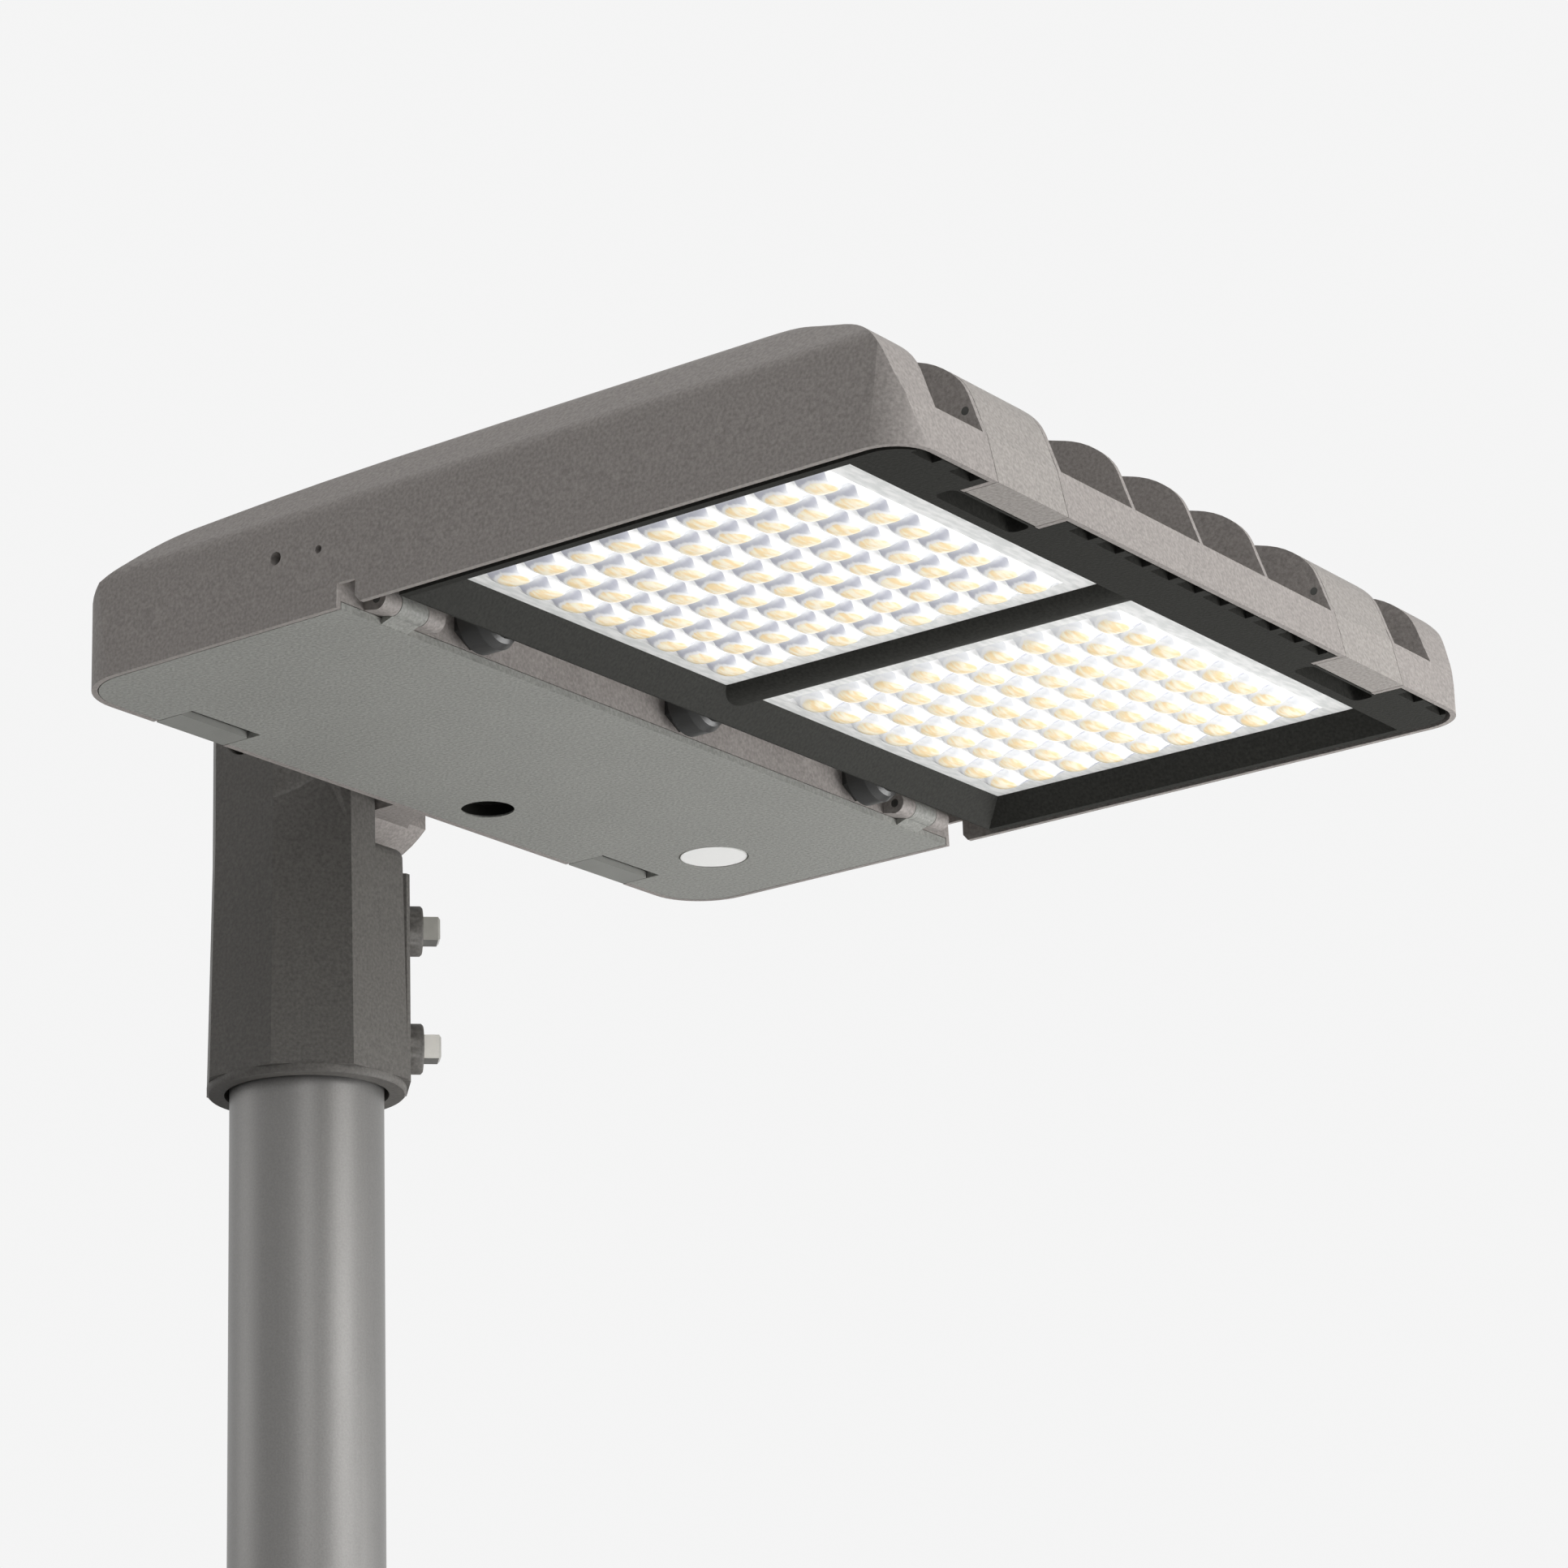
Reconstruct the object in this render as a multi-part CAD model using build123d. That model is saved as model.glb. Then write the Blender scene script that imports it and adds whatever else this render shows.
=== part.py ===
from build123d import *
import math
import os

# LED street light, sizes in millimetres.
# The row's frame stands on the cut lower end of the pole, on the pole's axis.
# +X points to the front of the head and +Z up.
# Head pieces are drawn with x from the head's rear edge and z from its underside.

# pole and spigot
POLE_D = 60.0
POLE_WALL = 3.0
POLE_TOP = -22.0
UNDER_Z = 300.0
SPIGOT_BORE_D = 64.0
SPIGOT_LOW = -107.0
SPIGOT_TOP = -10.0
SPIGOT_AF_TOP = 73.0
SPIGOT_AF_LOW = 76.5
SPIGOT_COLLAR_D = 77.5
SPIGOT_COLLAR_H = 3.0
SWIVEL_CLEAR = 0.05
RIB_ANGLES = (165.0, 225.0, 285.0)
RIB_W = 9.0
CABLE_BORE_D = 40.0
CLAMP_ANGLE = 45.0
CLAMP_Z = (-40.0, -88.0)
CLAMP_BOSS_W = 20.0
CLAMP_BOSS_OUT = 7.5
CLAMP_PAD_T = 2.0
CLAMP_BOLT_D = 10.0
CLAMP_HEAD_W = 9.5
CLAMP_HEAD_H = 7.0
THREAD_CLEAR = 0.1

# knuckle between spigot and head
HEAD_X = 49.5
PIVOT_Z = 36.0
EAR_R = 31.0
SPIGOT_EAR_R = 36.5
ARM_FOOT_R = 44.0
EAR_IN = 1.0
EAR_OUT = 37.0
ARM_WALL = 6.5
ARM_UNDER = 2.5
ARM_TOP = 47.0
ARM_ROOT_Y = 18.0
PIVOT_D = 12.0
PIVOT_CLEAR = 0.05
PIVOT_SINK_R = 12.0
PIVOT_SINK = 9.0
WASHER_R = 24.0
WASHER_TEETH = 36

# head outline
HEAD_L = 370.5
HEAD_W = 372.8
REAR_R = 25.0
FRONT_R = 17.0
WALL = 2.2
TOP_WALL = 2.8
CREASE_Z = 39.5
CREASE_IN = 1.6
SHOULDER_Z = 59.5
SHOULDER_IN = 17.1
RIM_Z = 17.9

# driver box
BOX_L = 131.2
GAP_END = 155.5
FRONT_WALL = 2.5
SKIN_Z = 3.0
DOOR_T = 2.6
DOOR_CLEAR = 0.4
GASKET_T = 2.8
SHELF_T = 2.6
SHELF_X0 = 42.0
SHELF_X1 = 124.0
SHELF_Y = 174.0
NOTCH_X = 139.5
NOTCH_Z = 9.0
TAP_X = (102.0, 122.0)
TAP_Z = (25.5, 24.0)
TAP_D = (5.0, 3.0)
TAP_PAD = 7.0

# door hinge
HINGE_X = 137.0
HINGE_Z = 6.0
HINGE_R = 4.2
HINGE_PIN_D = 3.4
HINGE_Y = (140.0, 148.7, 149.0, 163.0, 163.3, 172.0)
FIT_CLEAR = 0.05

# door details
PORT_X = 23.5
PORT_Y = 24.0
PORT_D = 21.0
PORT_WALL = 3.0
DISC_X = 51.0
DISC_Y = 134.0
DISC_D = 27.0
DISC_T = 1.0
TAB_Y0 = 102.0
TAB_Y1 = 139.0
TAB_X0 = 0.5
TAB_X1 = 13.0
SLOT_X1 = 19.0
SLIDE_CLEAR = 0.35

# cable glands
GLAND_Y = (-115.0, 7.0, 121.0)
GLAND_Z = 13.2
GLAND_THREAD_R = 6.5
GLAND_R = 12.2
GLAND_OUT = 16.0
LEAD_R = 1.2

# optics
OPEN_X0 = 156.3
OPEN_X1 = 343.0
OPEN_Y = 178.0
LENS_X0 = 166.5
LENS_X1 = 331.5
LENS_Y0 = 9.7
LENS_Y1 = 169.9
LENS_Z = 9.66
LENS_T = 2.3
LENS_FLANGE = 3.5
LENS_COLS = 9
LENS_ROWS = 8
PITCH_X = 16.4
PITCH_Y = 17.86
GRID_X = 247.0
GRID_Y = 89.8
DOME_X = 14.2
DOME_Y = 15.6
DOME_H = 3.0
CHIP_X = 12.6
CHIP_Y = 13.4
CHIP_T = 0.9
BOARD_T = 1.6
PLATE_LOW = 14.9
SEAL_W = 4.0
SCREW_R = 1.45
RIB_CREST = 5.5

# optic frame
FRAME_Y = 181.5
FRAME_X1 = 367.5
FRAME_SKIN = 2.5
FRAME_TOP = 14.6
VENT_X0 = 363.7
VENT_W = 12.0
VENT_PITCH = 17.0
POCKET_X0 = 347.5
POCKET_X1 = 356.0
POCKET_Y0 = 92.0
POCKET_Y1 = 138.0
TONGUE_Y = (-150.0, -50.0, 50.0, 150.0)

# fins and front latches
FIN_T = 2.2
FIN_Y = (-44.0, 0.0, 44.0)
LOW_FIN_Z = 36.0
FIN_X0 = 150.0
SIDE_BLOCK_Y = 163.0
LATCH_Y0 = 91.9
LATCH_Y1 = 133.3
LATCH_GAP = 0.3
LATCH_SKIN = 2.2
LATCH_LIP = 357.5
LATCH_PIN_X = 360.3
LATCH_PIN_Z = 27.0
LATCH_PIN_D = 3.0

# gear on its tray
TRAY_Z = 44.0
TRAY_T = 1.5
TRAY_X0 = 46.0
TRAY_X1 = 114.0
TRAY_Y = 146.0
DRIVER_X = 62.0
DRIVER_L = 150.0
DRIVER_H = 30.0
DRIVER_Y = -30.0
SURGE_L = 46.0
SURGE_Y = 78.0
TERM_L = 36.0
TERM_Y = 126.0

TOP_POINTS = [
    (0.0, 26.5), (13.0, 36.0), (26.0, 43.2), (42.0, 49.8), (60.0, 52.2), (90.0, 54.2),
    (130.0, 56.0), (182.0, 57.6), (225.0, 58.6), (270.0, 58.8), (300.0, 58.0),
]
FIN_POINTS = [
    (320.0, 55.9), (335.8, 51.1), (344.6, 48.4), (352.5, 44.1), (359.4, 37.3),
    (362.4, 31.0), (364.9, 23.5), (366.9, RIM_Z),
]

os.makedirs("parts", exist_ok=True)


def box(x0, x1, y0, y1, z0, z1):
    """Return a box between two corners."""
    size = Box(x1 - x0, y1 - y0, z1 - z0)
    return Pos((x0 + x1) / 2, (y0 + y1) / 2, (z0 + z1) / 2) * size


def rod(x, y, z, r, length, direction):
    """Return a rod that starts at a point and runs along a direction."""
    plane = Plane(origin=(x, y, z), z_dir=direction)
    return extrude(plane * Circle(r), amount=length)


def slab_xy(x0, x1, y0, y1, r, z0, z1):
    """Return a plate with round corners in plan."""
    sketch = Pos((x0 + x1) / 2, (y0 + y1) / 2, z0) * RectangleRounded(x1 - x0, y1 - y0, r)
    return extrude(sketch, amount=z1 - z0)


def prism_xz(points, y0, y1):
    """Return a polygon of x and z carried from y0 to y1."""
    face = make_face(Polyline([(x, y0, z) for x, z in points], close=True))
    return extrude(face, amount=y1 - y0, dir=(0, 1, 0))


def place_head(shape):
    """Move a head piece to the row's frame."""
    return Pos(HEAD_X, 0, UNDER_Z) * shape


def place_pole(shape):
    """Move a pole or spigot piece to the row's frame."""
    return Pos(0, 0, UNDER_Z) * shape


def save(shape, name):
    """Write one node's STEP file."""
    export_step(shape, "parts/" + name + ".step")


# Pole and spigot
def pole_section():
    """A cut length of plain tube."""
    length = UNDER_Z + POLE_TOP
    tube = extrude(Circle(POLE_D / 2) - Circle(POLE_D / 2 - POLE_WALL), amount=length)
    return Pos(0, 0, -UNDER_Z) * tube


def octagon(flats, z):
    """A regular octagon with flats facing the axes."""
    shape = RegularPolygon(flats / 2, 8, major_radius=False, rotation=22.5)
    return Pos(0, 0, z) * shape


def spigot():
    """Eight-sided tapered sleeve with its half knuckle on the near side."""
    collar_z = SPIGOT_LOW + SPIGOT_COLLAR_H
    body = loft([octagon(SPIGOT_AF_LOW, collar_z), octagon(SPIGOT_AF_TOP, SPIGOT_TOP)])
    collar = Pos(0, 0, SPIGOT_LOW) * extrude(Circle(SPIGOT_COLLAR_D / 2), amount=SPIGOT_COLLAR_H)
    body = body + chamfer(collar.faces().sort_by(Axis.Z)[0].edges(), 0.8)
    half = SPIGOT_AF_TOP / 2
    ear = rod(0, -EAR_IN, PIVOT_Z, SPIGOT_EAR_R, half - EAR_IN, (0, -1, 0))
    upright = extrude(octagon(SPIGOT_AF_TOP, SPIGOT_TOP), amount=PIVOT_Z - SPIGOT_TOP)
    upright = upright & box(-60, 60, -60, -EAR_IN, SPIGOT_TOP, PIVOT_Z)
    body = body + upright + ear
    shoulder = box(-60, 60, -EAR_IN, 60, SPIGOT_TOP - 8, SPIGOT_TOP + 1)
    far = body & shoulder
    top = far.faces().sort_by(Axis.Z)[-1]
    rim = [e for e in top.edges() if e.center().Y > 2.0]
    body = (body - shoulder) + fillet(rim, 5.0)
    # clamp pad and bosses on the facet that faces front and far side
    flat = SPIGOT_AF_LOW / 2 - 0.6
    turn = Rot(0, 0, CLAMP_ANGLE)
    pad = box(flat - 8, flat + CLAMP_PAD_T, -13, 13, CLAMP_Z[1] - 16, CLAMP_Z[0] + 20)
    pad = chamfer(pad.edges().filter_by(Axis.Z).sort_by(Axis.X)[-2:], 1.4)
    body = body + turn * pad
    for z in CLAMP_Z:
        boss = rod(flat - 6, 0, z, CLAMP_BOSS_W / 2, 6 + CLAMP_BOSS_OUT, (1, 0, 0))
        boss = chamfer(boss.faces().sort_by(Axis.X)[-1].edges(), 0.8)
        body = body + turn * boss
    # bore, its ribs and its end stop
    stop_z = POLE_TOP
    body = body - Pos(0, 0, SPIGOT_LOW - 1) * Cylinder(
        SPIGOT_BORE_D / 2, stop_z - SPIGOT_LOW + 1, align=(Align.CENTER, Align.CENTER, Align.MIN)
    )
    seat_r = POLE_D / 2 + SWIVEL_CLEAR
    ribs = None
    for angle in RIB_ANGLES:
        rib = Rot(0, 0, angle) * box(
            seat_r - 3, SPIGOT_BORE_D / 2 + 1, -RIB_W / 2, RIB_W / 2, SPIGOT_LOW + 4, stop_z
        )
        ribs = rib if ribs is None else ribs + rib
    ribs = ribs - Pos(0, 0, SPIGOT_LOW) * Cylinder(
        seat_r, 200, align=(Align.CENTER, Align.CENTER, Align.MIN)
    )
    body = body + ribs
    body = body - rod(0, 0, stop_z - 1, CABLE_BORE_D / 2, 12 + 2 - 1, (0, 0, 1))
    # wire window in the near half, from the bore up to the knuckle's side
    body = body - box(-9, 9, -CABLE_BORE_D / 2, -EAR_IN + 0.5, SPIGOT_TOP - 2, SPIGOT_TOP + 8)
    # pivot hole with a round recess for the bolt head
    hole_r = PIVOT_D / 2 + PIVOT_CLEAR * 4
    body = body - rod(0, 0, PIVOT_Z, hole_r, 60, (0, -1, 0))
    body = body - rod(0, -half + PIVOT_SINK, PIVOT_Z, PIVOT_SINK_R, 60, (0, -1, 0))
    # tapped holes for the clamp bolts
    for z in CLAMP_Z:
        hole = rod(20, 0, z, CLAMP_BOLT_D / 2 + THREAD_CLEAR, 60, (1, 0, 0))
        body = body - turn * hole
    return body


def clamp_bolts():
    """Two square-head bolts whose tips bear on the pole."""
    bolts = []
    flat = SPIGOT_AF_LOW / 2 - 0.6
    seat = flat + CLAMP_BOSS_OUT
    tip = POLE_D / 2 + SWIVEL_CLEAR
    for z in CLAMP_Z:
        shank = rod(tip, 0, z, CLAMP_BOLT_D / 2, seat - tip + 0.5, (1, 0, 0))
        shank = chamfer(shank.faces().sort_by(Axis.X)[0].edges(), 1.0)
        head = box(
            seat, seat + CLAMP_HEAD_H, -CLAMP_HEAD_W / 2, CLAMP_HEAD_W / 2,
            z - CLAMP_HEAD_W / 2, z + CLAMP_HEAD_W / 2
        )
        head = chamfer(head.faces().sort_by(Axis.X)[-1].edges(), 0.9)
        bolts.append(Rot(0, 0, CLAMP_ANGLE) * (head + shank))
    return Compound(children=bolts)


def tilt_washer():
    """Ring with fine radial teeth on its spigot side, between the two ears."""
    ring_z = 2 * EAR_IN - PIVOT_CLEAR
    ring = Circle(WASHER_R) - Circle(PIVOT_D / 2 + 0.2)
    ring = extrude(Plane(origin=(0, -EAR_IN, PIVOT_Z), z_dir=(0, 1, 0)) * ring, amount=ring_z)
    tooth = box(14, WASHER_R + 1, EAR_IN - PIVOT_CLEAR - 0.4, EAR_IN, -0.5, 0.5)
    cuts = [
        Pos(0, 0, PIVOT_Z) * Rot(0, i * 360 / WASHER_TEETH, 0) * tooth
        for i in range(WASHER_TEETH)
    ]
    return ring - cuts


def hexagon_y(flats, y0, y1):
    """A hexagon bar along Y at the pivot."""
    plane = Plane(origin=(0, y0, PIVOT_Z), z_dir=(0, 1, 0))
    return extrude(plane * RegularPolygon(flats / 2, 6, major_radius=False), amount=y1 - y0)


def pivot_bolt():
    """Hexagon bolt through both ears."""
    seat = -SPIGOT_AF_TOP / 2 + PIVOT_SINK - 2.0
    head = hexagon_y(18.0, seat - 6.5, seat)
    end = EAR_OUT - PIVOT_SINK + 12.0
    shank = rod(0, seat - 1, PIVOT_Z, PIVOT_D / 2, end - seat + 1, (0, 1, 0))
    shank = chamfer(shank.faces().sort_by(Axis.Y)[-1].edges(), 1.0)
    return head + shank


def pivot_washers():
    """Flat washers under the bolt head and the nut."""
    ring = Circle(11.0) - Circle(PIVOT_D / 2 + 0.2)
    near = -SPIGOT_AF_TOP / 2 + PIVOT_SINK
    far = EAR_OUT - PIVOT_SINK
    first = extrude(Plane(origin=(0, near - 2.0, PIVOT_Z), z_dir=(0, 1, 0)) * ring, amount=2.0)
    second = extrude(
        Plane(origin=(0, far + PIVOT_CLEAR, PIVOT_Z), z_dir=(0, 1, 0)) * ring, amount=2.0
    )
    return Compound(children=[first, second])


def pivot_nut():
    """Hexagon nut at the far end of the pivot bolt."""
    seat = EAR_OUT - PIVOT_SINK + PIVOT_CLEAR + 2.0
    nut = hexagon_y(18.0, seat, seat + 7.0)
    return nut - rod(0, seat - 1, PIVOT_Z, PIVOT_D / 2 + THREAD_CLEAR, 20, (0, 1, 0))


# Envelope of the die-cast head
def top_prism(inset):
    """Side view of the head: rear slope, gentle crown, round front and drafted rim."""
    crown = [(x, z - inset) for x, z in TOP_POINTS + FIN_POINTS]
    if inset > 0:
        crown = [(max(x, inset) if i == 0 else x, z) for i, (x, z) in enumerate(crown)]
    line = Spline([(x, 0, z) for x, z in crown], tangents=[(0.7, 0, 0.7), (0.33, 0, -1)])
    first = crown[0]
    last = crown[-1]
    edges = [
        line,
        Line((last[0], 0, last[1]), (HEAD_L - inset, 0, 0)),
        Line((HEAD_L - inset, 0, 0), (HEAD_L - inset, 0, -2)),
        Line((HEAD_L - inset, 0, -2), (first[0], 0, -2)),
        Line((first[0], 0, -2), (first[0], 0, first[1])),
    ]
    face = make_face(edges)
    return Pos(0, -HEAD_W / 2 - 5, 0) * extrude(face, amount=HEAD_W + 10, dir=(0, 1, 0))


def side_prism(inset):
    """End view of the head: upright sides, crease and shoulder."""
    half = HEAD_W / 2 - inset
    pts = [
        (-half, -2), (half, -2), (half, 0), (half - CREASE_IN, CREASE_Z - inset * 0.45),
        (half + inset * 0.5 - SHOULDER_IN, SHOULDER_Z - inset),
        (-half - inset * 0.5 + SHOULDER_IN, SHOULDER_Z - inset),
        (-half + CREASE_IN, CREASE_Z - inset * 0.45), (-half, 0),
    ]
    face = make_face(Polyline([(x, y, 0) for x, y in pts], close=True))
    crease = face.vertices().filter_by_position(Axis.Y, 20, CREASE_Z + 0.1)
    face = fillet(crease, 10.0)
    shoulder = face.vertices().filter_by_position(Axis.Y, SHOULDER_Z - inset - 0.1, SHOULDER_Z + 1)
    face = fillet(shoulder, 14.0)
    plane = Plane(origin=(-5, 0, 0), x_dir=(0, 1, 0), z_dir=(1, 0, 0))
    return extrude(plane * face, amount=HEAD_L + 10)


def plan_prism(inset, z0, z1):
    """Plan view of the head: larger corners at the rear than at the front."""
    half = HEAD_W / 2 - inset
    face = make_face(Polyline(
        [(inset, -half, 0), (HEAD_L - inset, -half, 0), (HEAD_L - inset, half, 0), (inset, half, 0)],
        close=True,
    ))
    face = fillet(face.vertices().sort_by(Axis.X)[:2], REAR_R - inset)
    face = fillet(face.vertices().sort_by(Axis.X)[-2:], FRONT_R - inset)
    return extrude(Pos(0, 0, z0) * face, amount=z1 - z0)


def envelope(inset):
    """The head's outer form, or the same form set in by a wall."""
    return top_prism(inset) & side_prism(inset) & plan_prism(inset, 0.0, 62.0)


def fin_sheet(y, x0, z0):
    """One upright fin under the head's top line."""
    sheet = top_prism(0.0) & box(x0, HEAD_L + 5, y - FIN_T / 2, y + FIN_T / 2, z0, 62.0)
    return sheet


def arm():
    """Hollow arm from the head's rear wall to its half of the knuckle."""
    x = -HEAD_X
    outer = rod(x, EAR_IN, PIVOT_Z, EAR_R, EAR_OUT - EAR_IN, (0, 1, 0))
    foot = rod(x, EAR_IN, PIVOT_Z, ARM_FOOT_R, EAR_OUT - EAR_IN, (0, 1, 0))
    outer = outer + (foot & box(x - EAR_R, x + 30, EAR_IN, EAR_OUT, -12, PIVOT_Z))
    plan = make_face([
        Line((x, EAR_IN, 0), (3, EAR_IN, 0)),
        Line((3, EAR_IN, 0), (3, ARM_ROOT_Y + 4, 0)),
        Spline(
            [(3, ARM_ROOT_Y + 4, 0), (-6, ARM_ROOT_Y + 2, 0), (-20, 27, 0), (-36, EAR_OUT, 0)],
            tangents=[(-1, -0.3, 0), (-1, 0.15, 0)],
        ),
        Line((-36, EAR_OUT, 0), (x, EAR_OUT, 0)),
        Line((x, EAR_OUT, 0), (x, EAR_IN, 0)),
    ])
    beam = extrude(Pos(0, 0, ARM_UNDER) * plan, amount=ARM_TOP - ARM_UNDER)
    web = box(-4, 3, -30, EAR_IN + 1, ARM_UNDER + 2, 24.0)
    outer = outer + beam + web
    # wire way through the arm, open below the knuckle and into the driver box
    hollow = rod(x, EAR_IN + ARM_WALL, PIVOT_Z, EAR_R - ARM_WALL, 20, (0, 1, 0))
    duct = box(x, 6, EAR_IN + ARM_WALL, ARM_ROOT_Y - 3, 14, 30)
    mouth = box(x - 11, x + 11, EAR_IN + ARM_WALL, 27.5, -20, PIVOT_Z)
    outer = outer - hollow - duct - mouth
    hole_r = PIVOT_D / 2 + PIVOT_CLEAR
    outer = outer - rod(x, 0, PIVOT_Z, hole_r, 60, (0, 1, 0))
    outer = outer - rod(x, EAR_OUT - PIVOT_SINK, PIVOT_Z, PIVOT_SINK_R, 60, (0, 1, 0))
    return outer


def housing():
    """Die-cast head: driver box, side walls, heat-sink plate, fins, rim and arm."""
    half = HEAD_W / 2
    body = envelope(0.0)
    inner = envelope(TOP_WALL) & box(
        WALL, BOX_L - FRONT_WALL, -half + WALL, half - WALL, DOOR_T + GASKET_T + SHELF_T, 62
    )
    body = body - inner
    # air gap behind the driver box and channels between the fins, open above the plate
    body = body - box(BOX_L, FIN_X0, -SIDE_BLOCK_Y, SIDE_BLOCK_Y, RIM_Z, 70)
    body = body - box(FIN_X0 - 1, HEAD_L + 5, -SIDE_BLOCK_Y, SIDE_BLOCK_Y, RIM_Z, 70)
    # hollow side blocks, open below
    side_form = envelope(TOP_WALL)
    for side in (-1, 1):
        y0, y1 = sorted((side * (SIDE_BLOCK_Y + 2.6), side * (half - WALL)))
        pocket = box(BOX_L, 352, y0, y1, -1, 62) & side_form
        body = body - pocket - box(BOX_L, 352, y0, y1, -1, 8)
    # space under the heat-sink plate for the optics, its front face follows the rim
    under = prism_xz([
        (BOX_L, -1), (HEAD_L - 2.0, -1), (HEAD_L - 2.0, 0), (HEAD_L - 5.0, PLATE_LOW),
        (BOX_L, PLATE_LOW),
    ], -half + WALL, half - WALL)
    corner = plan_prism(WALL, -2, PLATE_LOW)
    body = body - (under & corner)
    # the gap between driver box and plate goes right through
    body = body - box(BOX_L, FIN_X0, -SIDE_BLOCK_Y, SIDE_BLOCK_Y, -1, RIM_Z + 1)
    # door space, shelf opening and front skin
    seat_z = DOOR_T + GASKET_T
    room = slab_xy(WALL, BOX_L + 40, -half + WALL, half - WALL, REAR_R - WALL, -1, seat_z)
    body = body - (room & box(0, BOX_L - FRONT_WALL, -half, half, -1, seat_z))
    body = body - (room & box(0, BOX_L + 1, -half, half, -1, SKIN_Z))
    body = body - slab_xy(SHELF_X0, SHELF_X1, -SHELF_Y, SHELF_Y, 8, seat_z - 1, seat_z + SHELF_T + 1)
    ledge = box(SHELF_X1, BOX_L - 1, -SHELF_Y, SHELF_Y, seat_z, seat_z + 3)
    body = body + ledge
    for y in GLAND_Y:
        boss = box(SHELF_X1, BOX_L - 1, y - 9, y + 9, seat_z, GLAND_Z + 9)
        body = body + boss
        body = body - rod(SHELF_X1 - 1, y, GLAND_Z, GLAND_THREAD_R + THREAD_CLEAR, 12, (1, 0, 0))
    # windows in the shelf for the latch noses, notch in the rear wall for the tabs
    for side in (-1, 1):
        y0, y1 = sorted((side * (TAB_Y0 + 6), side * (TAB_Y1 - 6)))
        body = body - box(3.0, TAB_X1 + 3, y0, y1, seat_z - 1, seat_z + SHELF_T + 1)
        y0, y1 = sorted((side * (TAB_Y0 - 0.2), side * (TAB_Y1 + 0.2)))
        body = body - box(-1, WALL + 1, y0, y1, -1, SKIN_Z)
    # notches in the side walls beside the door's hinge
    notch = prism_xz([
        (BOX_L, -1), (NOTCH_X + 3, -1), (NOTCH_X, 2.5), (NOTCH_X, NOTCH_Z), (BOX_L, NOTCH_Z)
    ], -half - 1, half + 1)
    body = body - (notch & (box(BOX_L - 1, 160, half - 8, half + 2, -2, 20)
                            + box(BOX_L - 1, 160, -half - 2, -half + 8, -2, 20)))
    # pads behind the two tapped holes in the near side wall
    for x, z, d in zip(TAP_X, TAP_Z, TAP_D):
        body = body + box(x - 6, x + 6, -half + WALL - 0.5, -half + TAP_PAD, z - 6, z + 6)
        body = body - rod(x, -half - 1, z, d / 2, TAP_PAD, (0, 1, 0))
    # fixed knuckles of the door hinge
    for side in (-1, 1):
        for a, b in ((HINGE_Y[0], HINGE_Y[1]), (HINGE_Y[4], HINGE_Y[5])):
            y0, y1 = sorted((side * a, side * b))
            knuckle = prism_xz([
                (BOX_L - 1, SKIN_Z + 0.2), (HINGE_X, HINGE_Z - HINGE_R),
                (HINGE_X, HINGE_Z + HINGE_R), (BOX_L - 1, HINGE_Z + HINGE_R + 2),
            ], y0, y1)
            knuckle = knuckle + rod(HINGE_X, y0, HINGE_Z, HINGE_R, y1 - y0, (0, 1, 0))
            body = body + knuckle
            body = body - rod(HINGE_X, y0 - 1, HINGE_Z, HINGE_PIN_D / 2, y1 - y0 + 2, (0, 1, 0))
    # blind holes for the board screws
    for side in (-1, 1):
        for x, y in board_screw_places(side):
            body = body - rod(x, y, PLATE_LOW - 1, SCREW_R + THREAD_CLEAR, 3.3, (0, 0, 1))
    # rear rib of the plate with shelves for the optic frame's tongues
    body = body + box(FIN_X0, FIN_X0 + 2.5, -SIDE_BLOCK_Y - 1, SIDE_BLOCK_Y + 1, 8.5, RIM_Z)
    for y in TONGUE_Y:
        body = body + box(FIN_X0 + 2, GAP_END - 0.3, y - 12, y + 12, 8.5, 10.8)
    for y in (GLAND_Y[0], GLAND_Y[2]):
        body = body - rod(FIN_X0 - 1, y, GLAND_Z, LEAD_R + 0.5, 5, (1, 0, 0))
    # tall fins, bridged to the driver box, and low fins between them
    for y in FIN_Y:
        body = body + fin_sheet(y, BOX_L - 1, RIM_Z + 8) + fin_sheet(y, FIN_X0, RIM_Z - 1)
    for y in (-29.0, -14.5, 14.5, 29.0, -74.0, -59.0, 59.0, 74.0, -149.0, 149.0):
        body = body + box(FIN_X0, 326, y - 0.9, y + 0.9, RIM_Z - 1, LOW_FIN_Z)
    for y in (-119.0, -106.0, 106.0, 119.0):
        body = body + box(FIN_X0, 300, y - 0.9, y + 0.9, RIM_Z - 1, LOW_FIN_Z)
    # seats of the front latches: rim cut away between two cheeks
    for side in (-1, 1):
        y0, y1 = sorted((side * (LATCH_Y0 - LATCH_GAP), side * (LATCH_Y1 + LATCH_GAP)))
        body = body - box(357, HEAD_L + 5, y0, y1, -1, 70)
        for y in (LATCH_Y0 - LATCH_GAP - FIN_T / 2, LATCH_Y1 + LATCH_GAP + FIN_T / 2):
            cheek = fin_sheet(side * y, FIN_X0, RIM_Z - 1)
            low = top_prism(0.0) & box(
                357, HEAD_L + 5, side * y - FIN_T / 2, side * y + FIN_T / 2, 0, RIM_Z
            )
            body = body + cheek + low
        body = body - rod(LATCH_PIN_X, y0 - 10, LATCH_PIN_Z, LATCH_PIN_D / 2, 62, (0, 1, 0))
    # air slots through the plate above the frame's vents
    for y in vent_rows():
        body = body - box(VENT_X0 - 3, VENT_X0 + 1.0, y - 5, y + 5, PLATE_LOW - 1, RIM_Z + 1)
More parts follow.
